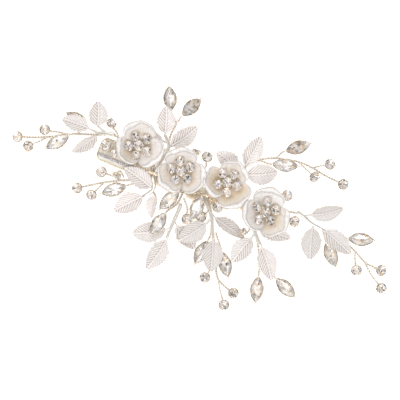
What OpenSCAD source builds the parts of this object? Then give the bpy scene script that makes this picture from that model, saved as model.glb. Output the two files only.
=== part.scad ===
// Flower hair clip: a bridal spray of enamelled flowers, leaf castings and crystal stones,
// wired along the upper arm of a sprung alligator clip.  Millimetres.
//
// Frame: the origin is the middle of the flat underside of the lower arm.  +X runs along the
// clip from the finger tabs to the nose, +Z goes up through the flowers, +Y to the left of +X.
// The spray is laid out on its own sketch plane, square to its bow, and at() turns it onto
// the clip.

/* [Clip] */
// length of the clip, mm
clip_length = 60; // [54:1:66]
// width across the finger tabs, mm
tab_width = 9.4; // [8.6:0.2:10.4]
// how far the finger tabs stand to the left of the jaws, mm
tab_offset = 1.5; // [0:0.1:1.6]
// width of the jaws, mm
jaw_width = 6.2; // [5.4:0.2:7]
// thickness of the pressed arms, mm
arm_thick = 0.8; // [0.6:0.05:0.9]
// height of the hinge pin above the underside, mm
pin_height = 4; // [3.6:0.1:4.4]
// distance from the middle of the clip back to the hinge pin, mm
pin_back = 8; // [7:0.5:9]
// radius of the hinge pin, mm
pin_radius = 0.9; // [0.7:0.05:1]

/* [Spray] */
// angle from the clip axis to the sketch plane of the spray, degrees
spray_turn = 22.5; // [20:0.5:25]
// thickness of the leaf castings, mm
leaf_thick = 0.55; // [0.4:0.05:0.7]
// how far the long edges of a leaf stand up above its midrib, mm
leaf_cup = 0.9; // [0.3:0.1:1.3]
// length of a flower petal from the middle of its flower, mm
petal_length = 9.6; // [8.6:0.1:10]
// height of a petal rim above the flat middle of the flower, mm
petal_rise = 3.3; // [2.5:0.1:4]
// thickness of the enamelled petals, mm
petal_thick = 0.5; // [0.4:0.05:0.6]

/* [Stones and wire] */
// radius of a round crystal at its girdle, mm
round_radius = 2; // [1.8:0.05:2.1]
// size of a flower stone as a share of a round crystal on a branch
flower_stone = 0.8; // [0.7:0.02:0.84]
// length of a pointed oval crystal, mm
navette_length = 10.7; // [10:0.1:11]
// width of a pointed oval crystal, mm
navette_width = 4.8; // [4.2:0.1:5]
// radius of a branch stem, mm
stem_radius = 0.42; // [0.35:0.01:0.45]
// radius of a twisted wire to one stone, mm
wire_radius = 0.34; // [0.28:0.01:0.38]

/* [Hidden] */
$fn = 48;
steel = [0.80, 0.78, 0.74];
gold = [0.86, 0.76, 0.60];
cast = [0.95, 0.93, 0.91];
enamel = [0.97, 0.94, 0.90];
crystal = [0.86, 0.90, 0.92];
tail_x = -clip_length / 2;
nose_x = clip_length / 2;
pin_x = -pin_back;
seat_wall = 0.4;                  // metal round a stone at its girdle
round_seat = round_radius + seat_wall;
gap = 0.05;                       // soldered and laid-on pieces stop this far apart

// ---------------------------------------------------------------- placing things
// a point of the sketch plane, carried onto the clip
function at(x, y, z) = [
  cos(spray_turn) * x - sin(spray_turn) * y + 16.7,
  sin(spray_turn) * x + cos(spray_turn) * y - 2.7,
  z];
// a heading on the sketch plane, as a heading about the clip
function turned(a) = a + spray_turn;
function unit(v) = v / norm(v);
function mix(a, b, t) = a * (1 - t) + b * t;
// a point just below or above a stem, where a wire is laid along it
function under(p) = p - [0, 0, 0.86];
function over(p) = p + [0, 0, 0.9];
// the last stretch of a wire that is laid under stem s at its point i
function laid_under(s, i) = [under(s[i]), under(mix(s[i], s[i + 1], 0.2))];
function laid_over(s, i) = [over(s[i]), over(mix(s[i], s[i + 1], 0.2))];

// underside of the upper arm, as [x, z]
arm_under = [
  [tail_x, 12], [-22, 10.1], [-14, 8.2], [-6, 6.2], [0, 4.9],
  [10, 3.4], [20, 2.2], [27, 1.35], [nose_x, 1]
];
function arm_top(x) = lookup(x, arm_under) + arm_thick;
spine_radius = 1;
function spine_z(x) = arm_top(x) + spine_radius + 3 * gap;
// where a wire is tied in beside the spine at x, on the +Y (1) or -Y (-1) side
function tie(x, side) = [x, side * (spine_radius + stem_radius + gap + 0.05), spine_z(x) + 0.15];

// a smooth route through its points (Catmull-Rom), stepped about every 3.5 mm
function smooth(a, b, c, d, t) = 0.5 * (2 * b + (c - a) * t
  + (2 * a - 5 * b + 4 * c - d) * t * t + (3 * b - a - 3 * c + d) * t * t * t);
function steps(a, b) = max(1, ceil(norm(b - a) / 3.5));
function route(p) = let (e = len(p) - 1) concat(
  [for (i = [0:e - 1]) each [for (k = [0:steps(p[i], p[i + 1]) - 1])
    smooth(p[max(i - 1, 0)], p[i], p[i + 1], p[min(i + 2, e)], k / steps(p[i], p[i + 1]))]],
  [p[e]]);

// ---------------------------------------------------------------- skinned solids
// a solid stretched over rings of points; closed joins the last ring to the first
module skin(rings, closed = false) {
  n = len(rings[0]);
  m = len(rings);
  sides = [for (j = [0:(closed ? m - 1 : m - 2)], i = [0:n - 1])
    let (k = (i + 1) % n, a = j * n, b = ((j + 1) % m) * n)
    each [[a + i, a + k, b + i], [a + k, b + k, b + i]]];
  caps = closed ? [] : [[for (i = [n - 1:-1:0]) i], [for (i = [0:n - 1]) (m - 1) * n + i]];
  polyhedron(points = [for (r = rings) each r], faces = concat(sides, caps), convexity = 4);
}

function tangent(p, i) = unit(p[min(i + 1, len(p) - 1)] - p[max(i - 1, 0)]);
function tube_ring(c, dir, r, sides) =
  let (ref = abs(dir[2]) > 0.9 ? [1, 0, 0] : [0, 0, 1],
       u = unit(cross(ref, dir)), v = cross(dir, u))
  [for (k = [0:sides - 1]) c + r * (cos(k * 360 / sides) * u - sin(k * 360 / sides) * v)];
module tube(points, r, sides = 6) {
  p = route(points);
  skin([for (i = [0:len(p) - 1]) tube_ring(p[i], tangent(p, i), r, sides)]);
}

// ---------------------------------------------------------------- the clip
module arm_plan() {
  tab = tab_width / 2;
  jaw = jaw_width / 2;
  tip = jaw * 0.84;
  corner = 2.4;
  left = tab_offset + tab;
  right = tab_offset - tab;
  for (y = [left - corner, right + corner]) translate([tail_x + corner, y]) circle(corner);
  translate([nose_x - tip, 0]) circle(tip);
  polygon([
    [tail_x, right + corner], [tail_x + corner, right], [-18, right], [-13, -jaw], [8, -jaw],
    [nose_x - tip, -tip], [nose_x - tip, tip], [8, jaw], [-13, jaw], [-18, left],
    [tail_x + corner, left], [tail_x, left - corner]]);
}
module across(width) rotate([90, 0, 0]) linear_extrude(width, center = true) children();
module at_pin() translate([pin_x, 0, pin_height]) rotate([90, 0, 0]) children();

module upper_arm() color(steel) difference() {
  ear_y = jaw_width / 2 - arm_thick / 2;
  union() {
    intersection() {
      across(14) polygon(concat(arm_under,
        [for (i = [len(arm_under) - 1:-1:0]) arm_under[i] + [0, arm_thick]]));
      translate([0, 0, -1]) linear_extrude(18) arm_plan();
    }
    for (s = [-1, 1]) translate([0, s * ear_y, 0]) across(arm_thick) {
      polygon([[pin_x - 2.2, pin_height], [pin_x - 2.2, 7.6],
        [pin_x + 2.2, 6.5], [pin_x + 2.2, pin_height]]);
      translate([pin_x, pin_height]) circle(2.2);
    }
    // grip ribs pressed up across the finger tab
    for (i = [0:3]) translate([-28.2 + 1.6 * i, tab_offset, arm_top(-28.2 + 1.6 * i) - 0.1])
      rotate([90, 0, 0]) cylinder(r = 0.35, h = tab_width - 3.4 + 0.5 * i, center = true);
  }
  at_pin() cylinder(r = pin_radius + 0.03, h = 20, center = true);
}

module lower_arm() color(steel) difference() {
  ear_y = jaw_width / 2 - 1.4;
  union() {
    linear_extrude(arm_thick) arm_plan();
    for (s = [-1, 1]) translate([0, s * ear_y, 0]) across(0.6) {
      polygon([[pin_x - 2, arm_thick / 2], [pin_x - 1.9, pin_height],
        [pin_x + 1.9, pin_height], [pin_x + 2, arm_thick / 2]]);
      translate([pin_x, pin_height]) circle(1.9);
    }
    // two rows of gripping teeth, lower toward the nose
    for (s = [-1, 1]) translate([0, s * 2, 0]) across(0.7)
      for (x = [2:2:22]) let (h = 0.35 * (lookup(x, arm_under) - arm_thick))
        polygon([[x - 0.8, arm_thick / 2], [x - 0.7, arm_thick],
          [x, arm_thick + h], [x + 0.7, arm_thick], [x + 0.8, arm_thick / 2]]);
  }
  at_pin() cylinder(r = pin_radius + 0.3, h = 20, center = true);
}

module hinge_pin() color(steel) at_pin() {
  cylinder(r = pin_radius, h = jaw_width + 0.9, center = true);
  for (s = [-1, 1]) translate([0, 0, s * (jaw_width / 2 + 0.25)])
    cylinder(r = pin_radius + 0.45, h = 0.4, center = true);
}

// coil round the pin with a leg to each arm; the lower leg lies where it is when squeezed
module torsion_spring() color(steel) {
  coil = pin_radius + 0.74;
  turns = 3;
  rings = 42;
  lean = 17;
  start = 90 - lean;
  coil_at = function(a, y) [pin_x + coil * cos(a), y, pin_height + coil * sin(a)];
  leg_dir = [-cos(lean), 0, sin(lean)];
  helix = [for (k = [0:rings]) let (t = k / rings)
    coil_at(start - t * (360 * turns + 180), -0.95 + 1.9 * t)];
  path = concat([helix[0] + 8.8 * leg_dir, helix[0] + 4 * leg_dir, helix[0] + 0.5 * leg_dir],
    [for (i = [1:rings - 1]) helix[i]],
    [helix[rings] + 0.5 * leg_dir, helix[rings] + 4 * leg_dir, helix[rings] + 7.4 * leg_dir]);
  skin([for (i = [0:len(path) - 1])
    let (d = tangent(path, i), u = unit(cross([0, 1, 0], d)), v = cross(d, u))
    [for (k = [0:5]) path[i] + 0.27 * (cos(60 * k) * u - sin(60 * k) * v)]]);
}

// ---------------------------------------------------------------- spine and binding
spine = concat([for (x = [-14, -6, 0, 10, 20, 28]) [x, 0, spine_z(x)]],
  [[36.5, 1.2, 3.8], [43, 3, 4.2]]);
// the bundle thins out along the finger tab
tail_radius = 0.7;
tail = [for (x = [tail_x + 1, -24, -19, -14 - tail_radius])
  [x, x < -18 ? -1.1 : -0.4, arm_top(x) + tail_radius + 6 * gap]];
module spine_wire() color(gold) {
  tube(spine, spine_radius, 8);
  tube(tail, tail_radius, 8);
}

// one turn of binding wire round the arm and the spine at x
module binding_turn(x) {
  r = 0.22;
  lo = lookup(x, arm_under) - r - gap;
  hi = arm_top(x) + r + gap;
  top = spine_z(x) + spine_radius + r + gap;
  w = jaw_width / 2 + r + gap;
  lean = 0.25;
  loop = [[0, w, lo], [0, w, hi], [lean, 1.5, top - 0.3], [lean, 0.8, top],
    [lean, -0.8, top], [lean, -1.5, top - 0.3], [0, -w, hi], [0, -w, lo]];
  n = len(loop);
  skin([for (i = [0:n - 1])
    let (p = [x, 0, 0] + loop[i], d = unit(loop[(i + 1) % n] - loop[(i + n - 1) % n]),
         u = unit(cross([1, 0, 0], d)), v = cross(d, u))
    [for (k = [0:3]) p + r * (cos(90 * k) * u - sin(90 * k) * v)]], closed = true);
}
module binding_wire() color(gold) {
  for (i = [0:9]) binding_turn(-3.4 + 0.56 * i);
  for (i = [0:8]) binding_turn(10.4 + 0.56 * i);
  for (i = [0:4]) binding_turn(19.8 + 0.56 * i);
}

// ---------------------------------------------------------------- stones and settings
// rings scaled from one outline, skinned into a faceted crystal
function scaled(outline, s, z) = [for (p = outline) [p[0] * s, p[1] * s, z]];
round_outline = [for (k = [0:7]) round_radius * [cos(45 * k), -sin(45 * k)]];
navette_reach = navette_length / 2 - 0.3;
navette_outline = concat(
  [for (t = [-1:0.4:0.9]) [-navette_reach * t, -navette_width / 2 * (1 - t * t)]],
  [for (t = [-1:0.4:0.9]) [navette_reach * t, navette_width / 2 * (1 - t * t)]]);
module round_stone() skin([scaled(round_outline, 0.08, -1.3), scaled(round_outline, 1, 0),
  scaled(round_outline, 1, 0.15), scaled(round_outline, 0.56, 0.75)]);
module navette_stone() skin([scaled(navette_outline, 0.12, -1.1), scaled(navette_outline, 1, 0),
  scaled(navette_outline, 1, 0.15), scaled(navette_outline, 0.6, 0.7)]);

module round_setting() {
  rotate_extrude() polygon([
    [0, -1.7], [round_radius - 0.3, -1.7], [round_seat - 0.05, -0.1],
    [round_radius + 0.1, -0.1], [round_radius - 0.55, -1.4], [0, -1.4]]);
  // four claws bent over the girdle
  for (k = [0:3]) rotate([0, 0, 45 + 90 * k]) across(0.6)
    polygon([[round_radius + 0.12, -0.8], [round_radius + 0.2, -0.8], [round_radius + 0.48, 0],
      [round_radius + 0.3, 0.5], [round_radius - 0.15, 0.5], [round_radius - 0.15, 0.34],
      [round_radius + 0.12, 0.2]]);
}

// pointed oval: two equal arcs
module lens(length, width) {
  r = (length * length + width * width) / (4 * width);
  intersection() {
    translate([0, r - width / 2]) circle(r, $fn = 96);
    translate([0, width / 2 - r]) circle(r, $fn = 96);
  }
}
navette_long = navette_length + 1;
navette_wide = navette_width + 1;
module navette_setting() {
  difference() {
    translate([0, 0, -1.5]) linear_extrude(1.45) lens(navette_long, navette_wide);
    translate([0, 0, -1.2]) linear_extrude(2) lens(navette_length + 0.2, navette_width + 0.2);
  }
  // a pointed cap over each tip and a claw at each shoulder
  for (s = [-1, 1]) {
    translate([s * (navette_length / 2 + 0.1), 0, 0.05]) cube([0.7, 0.9, 0.9], center = true);
    for (t = [-1, 1]) translate([s * 1.9, t * (navette_width / 2 + 0.02), 0.02])
      cube([0.5, 0.42, 0.8], center = true);
  }
}

// round = [middle, tilt, heading of the tilt, size, wire radius, route of its wire]
module at_round(s) translate(s[0]) rotate([0, 0, s[2]]) rotate([0, s[1], 0]) scale(s[3]) children();
function round_axis(s) = [sin(s[1]) * cos(s[2]), sin(s[1]) * sin(s[2]), cos(s[1])];
function round_wire(s) =
  let (n = round_axis(s), back = s[0] - n * (1.7 * s[3] + s[4] + gap),
       side = s[5][0] - s[0], flat = side - n * (side * n))
  s[1] > 60 ? concat([back], s[5])
            : concat([back, back + unit(flat) * min(2.7, norm(flat) / 2)], s[5]);

// navette = [middle, heading, pitch, roll, wire radius, route of its wire]
module at_navette(s)
  translate(s[0]) rotate([0, 0, s[1]]) rotate([0, -s[2], 0]) rotate([s[3], 0, 0]) children();
function about_z(v, a) = [v[0] * cos(a) - v[1] * sin(a), v[0] * sin(a) + v[1] * cos(a), v[2]];
function navette_along(s) = about_z([cos(s[2]), 0, sin(s[2])], s[1]);
function navette_axis(s) =
  about_z([-cos(s[3]) * sin(s[2]), -sin(s[3]), cos(s[3]) * cos(s[2])], s[1]);
function navette_wire(s) =
  let (a = navette_along(s), back = s[0] - navette_axis(s) * (1.5 + s[4] + gap))
  concat([back - a * (navette_long / 2 - 2), back - a * (navette_long / 2 + 0.8)], s[5]);

// branch = [rounds, navettes]
module wires(b) color(gold) {
  for (s = b[0]) tube(round_wire(s), s[4]);
  for (s = b[1]) tube(navette_wire(s), s[4]);
}
module settings(b) color(gold) {
  for (s = b[0]) at_round(s) round_setting();
  for (s = b[1]) at_navette(s) navette_setting();
}
module stones(b) color(crystal) {
  for (s = b[0]) at_round(s) round_stone();
  for (s = b[1]) at_navette(s) navette_stone();
}

// ---------------------------------------------------------------- leaves
// half width of a leaf at t along its length, as a share of its widest
function leaf_shape(t) = pow(sin(180 * pow(t, 0.85)), 0.7);
// leaf = [base, tip, width, roll, bow]
module leaf(base, tip, width, roll = 0, bow = 0.8) {
  along = unit(tip - base);
  flat = unit(cross([0, 0, 1], along));
  up0 = cross(along, flat);
  side = cos(roll) * flat + sin(roll) * up0;
  up = cross(along, side);
  skin([for (k = [0:7]) let (t = k / 7,
      half = max(width / 2 * (k == 0 || k == 7 ? 0 : leaf_shape(t)), k == 7 ? 0.2 : 0.35),
      c = mix(base, tip, t) + up * (4 * bow * t * (1 - t)))
    concat(
      [for (s = [-1:0.5:1]) c + side * s * half + up * leaf_cup * pow(abs(s), 1.5) * 2 * half / width],
      [for (s = [1:-0.5:-1]) c + side * s * half
        + up * (leaf_cup * pow(abs(s), 1.5) * 2 * half / width - leaf_thick)])]);
}
// sprig = [stalk points, leaves], leaf = [joint on the stalk, base, tip, width, roll, bow]
module sprig(s) color(cast) {
  tube(s[0], 0.46);
  for (f = s[1]) {
    tube([f[0], f[1] - [0, 0, leaf_thick / 2]], 0.4);
    leaf(f[1], f[2], f[3], f[4], f[5]);
  }
}

// ---------------------------------------------------------------- flowers
// reach of a petal at angle a from its own axis: a small pointed lip, then two square shoulders
function petal_reach(a) = petal_length * lookup(abs(a),
  [[0, 1.1], [9, 1.05], [20, 1.02], [32, 1.01], [41, 0.98], [48, 0.91], [55, 0.82], [60, 0.76]]);
function petal_height(r, a, reach) =
  petal_rise * pow(max(0, (r - 4) / (petal_length - 4)), 2)
  + 0.8 * pow(abs(a) / 60, 4) * min(1, r / 7)
  - 0.9 * pow(max(0, (r - reach + 1.4) / 1.4), 2);
post_radius = 0.7;
module trefoil() skin(closed = true, rings = [for (k = [0:35])
  let (angle = 360 * k / 36, a = (angle + 60) % 120 - 60, reach = petal_reach(a),
       rs = [for (f = [0, 0.4, 0.62, 0.8, 0.9, 1]) mix(post_radius + 0.1, reach, f)])
  concat(
    [for (r = rs) [r * cos(angle), r * sin(angle), petal_height(r, a, reach) - petal_thick]],
    [for (i = [len(rs) - 1:-1:0]) let (r = rs[i])
      [r * cos(angle), r * sin(angle), petal_height(r, a, reach)]])]);

// flower = [middle, size, heading of one petal, heading of one stone, tilt, heading of the tilt]
module at_flower(f) translate(f[0]) rotate([0, 0, f[5]]) rotate([0, f[4], 0]) rotate([0, 0, -f[5]])
  children();
ring_radius = 4.2;
stone_lift = 2.4;
module at_flower_stones(f) at_flower(f) {
  translate([0, 0, stone_lift]) scale(flower_stone) children();
  for (k = [0:4]) rotate([0, 0, f[3] + 72 * k]) translate([ring_radius, 0, stone_lift])
    scale(flower_stone) children();
}
module petals(f) color(enamel) at_flower(f) rotate([0, 0, f[2]]) scale([f[1], f[1], 1]) trefoil();
module flower_settings(f) color(gold) {
  at_flower_stones(f) round_setting();
  at_flower(f) translate([0, 0, 0.65]) cylinder(r = ring_radius + 0.4, h = 0.45);
  at_flower(f) translate([0, 0, -1.2]) cylinder(r = post_radius * 0.9, h = 2);
}
module flower_stones(f) color(crystal) at_flower_stones(f) round_stone();

flower_1 = [at(-25.4, 22.5, 12.9), 1, turned(85), turned(110), 2, turned(330)];
flower_2 = [at(-7.9, 12.1, 11), 1, turned(90), turned(94), 4, turned(250)];
flower_3 = [at(11.4, 7.2, 9.4), 1, turned(60), turned(48), 4, turned(60)];
flower_4 = [at(27.1, -4.8, 8.6), 1, turned(75), turned(82), 6, turned(330)];

function below(f) = f[0] - [0, 0, 1.2 + 5 * gap + 0.2];
module flower_stems() color(gold) {
  tube([below(flower_1), below(flower_1) - [0, 2.5, 0.7], tie(-11, 1)], 0.5);
  tube([below(flower_2), below(flower_2) - [0, 1, 1.6], tie(5.4, 1)], 0.5);
  tube([below(flower_3), below(flower_3) - [1, 3, 1.8], tie(17.6, 1)], 0.5);
  tube([below(flower_4), [43, 3.2, spine[7][2] + spine_radius + 0.12]], 0.5);
}

// ---------------------------------------------------------------- leaf sprigs
sprig_1 = [[at(-36, 27.2, 9.4), at(-39, 27.8, 8.9), at(-41.5, 28, 8.3)], [
  [at(-41.5, 28, 8.3), at(-46.5, 30, 7.8), at(-57.5, 34, 6.4), 6.4, 0, 0.6],
  [at(-39, 27.8, 8.9), at(-42.6, 31, 9), at(-42.4, 41, 11), 7.6, 0, 0.8],
  [at(-41.5, 28, 8.3), at(-43, 26.8, 7.9), at(-53.5, 20, 5.4), 7.6, -52, 0.8]]];
sprig_2 = [[tie(-5, 1), [-4.6, 5.5, 8.6], at(-13, 22, 8.3), at(-14.5, 27, 8.6)], [
  [at(-14.5, 27, 8.6), at(-14.5, 28, 8.7), at(-14, 39, 10.6), 7.4, 0, 0.6],
  [at(-13, 22, 8.3), at(-11.8, 22.6, 8.3), at(-1, 30.5, 6.8), 7, 0, 0.8],
  [at(-13.6, 24, 8.4), at(-15.4, 24.6, 8.3), at(-27, 25.5, 7.6), 7, 0, 0.6]]];
sprig_3 = [[tie(26.5, 1), [27, 6.5, 5.4], at(17.5, 11.5, 7.2)], [
  [at(17.5, 11.5, 7.2), at(19, 14.4, 7.7), at(25.5, 26.5, 8.2), 7.1, 0, 0.8],
  [at(17.5, 11.5, 7.2), at(19.8, 10.4, 7.2), at(32.5, 11.5, 5.4), 8.2, 0, 0.8],
  [at(17.5, 11.5, 7.2), at(16, 12.8, 7.3), at(7, 20, 7.7), 7.1, 0, 0.6]]];
sprig_4 = [[at(41, -5.2, 5.5), at(44, -7.5, 5.7), at(46.5, -9.8, 5.7), at(51, -12.2, 5.6)], [
  [at(43, -6.7, 5.6), at(46.5, -6.3, 5.9), at(60, -3.5, 5), 6.4, 15, 0.8],
  [at(46.5, -9.8, 5.7), at(47, -11.8, 5.7), at(46, -25, 4.4), 8.1, 0, 0.8],
  [at(51, -12.2, 5.6), at(52.2, -12.8, 5.7), at(63, -22.5, 5.4), 7.1, 0, 0.8]]];
sprig_5 = [[tie(-5.2, -1), [-3.4, -4.4, 7.2], at(-20, 4, 6.4), at(-23.2, 1.8, 5.6)], [
  [[-3.4, -4.4, 7.2], at(-20.6, 5.4, 7.8), at(-31.5, 13.5, 11.6), 7.4, 0, 1],
  [at(-23.2, 1.8, 5.6), at(-24.2, 1.4, 5.6), at(-36, -4.5, 4.2), 7.9, 0, 0.8],
  [at(-20, 4, 6.4), at(-18.6, 1.6, 5.4), at(-20.4, -7.5, 3.6), 7.6, 55, 0.6]]];
sprig_6 = [[at(-8.2, -2.2, 4.9), at(-9.5, -5.5, 4.6), at(-11.8, -10.5, 4.3), at(-13.8, -15.5, 4.1)], [
  [at(-12.6, -12.2, 4.3), at(-14.5, -12.4, 4.5), at(-28.5, -14, 3.8), 8.3, 0, 0.6],
  [at(-13.8, -15.5, 4.1), at(-14.2, -17, 4.2), at(-22.5, -29, 3.2), 7.5, 0, 0.6],
  [at(-11, -9, 4.4), at(-9.8, -11, 4.2), at(-2.2, -20.4, 3.9), 7.2, 0, 0.2]]];
sprig_7 = [[tie(18, -1) - [0, 0.2, 0], at(3.4, -2.6, 4.7), at(4.8, -7, 5.2), at(5.5, -15.8, 5)], [
  [at(4.8, -7.5, 5.2), at(2.4, -10, 5.9), at(-9, -17, 5.9), 8.2, 0, 0.6],
  [at(5.5, -15.8, 5), at(5.5, -17, 5), at(4.5, -30, 4.7), 8.2, 0, 0.8],
  [at(4.4, -5.5, 5.1), at(6.4, -7.6, 5.4), at(18.5, -16, 4.4), 7, -40, 0.6]]];
sprig_8 = [[[37.2, -0.6, 4.2], at(22, -8.5, 4.9), at(22.8, -12.8, 5.1), at(25.2, -18.6, 5.1)], [
  [at(23.2, -13.5, 5.1), at(21.3, -16.2, 5.3), at(13.5, -26, 4.4), 7.8, 0, 0.8],
  [at(25.2, -18.6, 5.1), at(25.8, -20, 5.1), at(30, -33.5, 4.4), 7.5, 0, 0.8],
  [at(22.2, -10.5, 5), at(24.6, -11.8, 5.2), at(38, -16, 4.6), 6.6, 15, 0.8]]];

// ---------------------------------------------------------------- branches
// each stem runs from its last stone in to the spine
stem_1 = [at(-70, 26.3, 1.2), at(-63.5, 26.5, 1.8), at(-54.5, 27.5, 3), at(-48.5, 27.5, 4.6),
  at(-42, 27.3, 6.6), at(-36, 27, 8.4), at(-31, 24, 10), [-16.5, 5.5, 10.6], tie(-13, 1)];
branch_1 = [[
  [at(-76.5, 26.5, 3.4), 12, turned(180), 1, stem_radius, stem_1],
  [at(-72, 22.5, 3.4), 15, turned(230), 1, wire_radius,
    concat([at(-68, 24.4, 1)], laid_under(stem_1, 1))],
  [at(-65, 29.5, 4.2), 10, turned(100), 1, wire_radius,
    concat([at(-60, 28.6, 2)], laid_under(stem_1, 2))],
  [at(-39, 22.5, 15.2), 15, turned(160), 1, wire_radius,
    [at(-34.6, 24.2, 12.6), at(-32.6, 24.9, 11.3), over(stem_1[6])]],
  [at(-35.6, 19.2, 14), 6, turned(200), 0.8, wire_radius,
    [at(-33.2, 21.4, 12.1), at(-30.8, 22.6, 11.3)]],
  [at(-36.7, 32, 10), 38, turned(40), 0.95, wire_radius,
    [at(-34.9, 28.6, 8.4), at(-33.7, 26.1, 7.8)]]
], [
  [at(-59.5, 24.3, 6.6), turned(209), 0, 0, wire_radius,
    concat([at(-51, 27.9, 4.9)], laid_over(stem_1, 3))],
  [at(-51.3, 33.5, 4.2), turned(145), -6, 0, wire_radius,
    concat([at(-44.6, 28.9, 4)], laid_under(stem_1, 4))]
]];

stem_2 = [at(-45, 6.5, 1.9), at(-40, 7.4, 2.9), at(-33, 8.2, 5.4),
  [-12.4, -5.6, 7.5], [-10.6, -3.4, 8.6], tie(-9.5, -1)];
branch_2 = [[
  [at(-51.5, 5, 3.6), 12, turned(190), 1, stem_radius, stem_2],
  [at(-45.5, 2, 3.8), 15, turned(230), 1, wire_radius,
    concat([at(-42.4, 5.2, 1.9)], laid_under(stem_2, 1))],
  [at(-41.2, 11.8, 6), 12, turned(130), 1, wire_radius,
    concat([at(-36.4, 10, 4)], laid_under(stem_2, 2))],
  [at(-34.9, 10, 8.2), 80, 270, 0.9, wire_radius, [at(-33.2, 12, 7.5), at(-31.8, 9.6, 6.9)]]
], [
  [at(-36, 4.3, 4.4), turned(197.6), 0, 0, wire_radius, [at(-27.6, 7.2, 4.4), under(stem_2[3])]]
]];

stem_3 = [at(-10, 32, 6.2), at(-12.3, 27, 6), at(-13.4, 22, 6.4), [-6.2, 6.5, 7.7], tie(-6.5, 1)];
stem_4 = [at(2.2, 13.5, 7.1), [11, 6, 6.8], tie(7.6, 1)];
branch_3 = [[
  [at(3, 18, 9.4), 20, turned(60), 1, wire_radius, stem_4],
  [at(-1.5, 20.5, 8.4), 80, turned(75), 0.9, wire_radius,
    [at(-2.2, 16.5, 7), at(-1.4, 12.6, 6), [8.6, 5.2, 5.9]]]
], [
  [at(-12.5, 42.5, 6.2), turned(96), -20, 0, stem_radius, stem_3],
  [at(-3.5, 38.8, 6), turned(43), -20, 0, wire_radius,
    concat([at(-8.6, 33.6, 5.4)], laid_under(stem_3, 0))]
]];

stem_5 = [at(52, 10.5, 1.7), at(47, 13.5, 2.1), at(41, 16, 2.9), at(31.5, 17.5, 4.4), at(24, 16.5, 5.6),
  at(19, 13.6, 6), [29.2, 6.5, 4.6], tie(28.6, 1)];
branch_4 = [[
  [at(60, 6.5, 3.6), 12, turned(330), 1, stem_radius, stem_5],
  [at(54.5, 15, 3.8), 10, turned(30), 1, wire_radius,
    concat([at(50.4, 14.3, 1.3)], laid_under(stem_5, 1))],
  [at(48, 9.5, 4.2), 28, turned(310), 1, wire_radius,
    concat([at(44.6, 12.8, 1.9)], laid_under(stem_5, 2))]
], [
  [at(41, 22, 4.8), turned(17), -10, 0, wire_radius,
    concat([at(33.4, 19, 3.7)], laid_under(stem_5, 3))],
  [at(35.5, 14.5, 8.4), turned(355), 0, 0, wire_radius,
    concat([at(26.6, 15.9, 6.5)], laid_over(stem_5, 4))]
]];

stem_7 = [at(72.6, -28, 1.3), at(69, -26, 1.8), at(65, -21.5, 2.6), at(60, -17.5, 3.4), at(51, -12.5, 4.5),
  at(45.5, -9.3, 4.7), at(41.5, -6, 4.6), at(35, -4.4, 4.4), [44.6, 5, 4.4]];
branch_5 = [[
  [at(36.5, 2, 7.2), 14, turned(30), 1, wire_radius, [at(32, -0.8, 4.8), [42.2, 5, 4.9]]],
  [at(39.5, -9, 6.6), 14, turned(320), 1, wire_radius, [at(34.6, -7.5, 4.2), [44.3, 3, 4.1]]],
  [at(76, -29.5, 3.4), 12, turned(10), 1, stem_radius, stem_7],
  [at(65.5, -29.5, 3.6), 12, turned(270), 1, wire_radius,
    concat([at(65, -25, 1.2)], laid_under(stem_7, 2))],
  [at(76, -37, 3.4), 14, turned(300), 1, wire_radius,
    concat([at(71.6, -31, 0.9)], laid_under(stem_7, 1))]
], [
  [at(54.8, -22.8, 3.4), turned(291.4), 0, 0, wire_radius,
    concat([at(51.8, -14.6, 2.8)], laid_under(stem_7, 4))],
  [at(67.3, -16.5, 5.6), turned(355), 0, 0, wire_radius, [at(57.6, -14.8, 3.5), at(54, -12.9, 3.2)]]
]];

stem_8 = [at(-11.4, -3, 6.1), at(-9, -0.8, 6.1), tie(8.7, -1)];
branch_6 = [[
  [at(-5.5, -8, 3.8), 14, turned(280), 1, wire_radius, [at(-5.4, -3.4, 3), at(-6.8, 0.6, 4.6)]]
], [
  [at(-17.5, -9.8, 8.2), turned(233.6), 0, 0, stem_radius, stem_8],
  [at(-12.8, 0, 9.2), turned(223), 0, 0, wire_radius, [[6.6, -1.9, 6.9]]]
]];

branch_7 = [[
  [at(0.5, -7, 4.2), 10, turned(250), 1, wire_radius, [at(3.2, -4.9, 2.7), at(4, -3, 3.6)]],
  [at(7.5, -3, 6.4), 12, turned(320), 1, wire_radius, [tie(24.2, -1)]]
], [
  [at(-1.3, -3.3, 8.2), turned(247.6), -20, 0, wire_radius, [[16.8, -1.7, 6.6], tie(16.5, -1)]]
]];

stem_10 = [at(10.6, -36.5, 1.4), at(7.5, -33, 1.9), at(6.6, -28.5, 2.7), at(6.3, -22, 3.3),
  at(5.6, -13.5, 3.7), at(5, -8.5, 3.9)];
branch_8 = [[
  [at(14, -39, 3.6), 12, turned(310), 1, stem_radius, stem_10],
  [at(10, -44, 3.4), 14, turned(270), 1, wire_radius,
    concat([at(8.4, -38, 1)], laid_under(stem_10, 1))],
  [at(2, -32.5, 3.6), 12, turned(220), 1, wire_radius,
    concat([at(4.6, -28.4, 1.6)], laid_under(stem_10, 3))]
], [
  [at(0.5, -22, 2.6), turned(241.4), 0, 0, wire_radius, [at(4.4, -14.4, 1.6), at(4.6, -10.5, 2.9)]],
  [at(10.5, -27, 3.2), turned(284), 0, 0, wire_radius, [at(7.9, -17.6, 2.4), at(6.6, -13.5, 2.8)]]
]];

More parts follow.
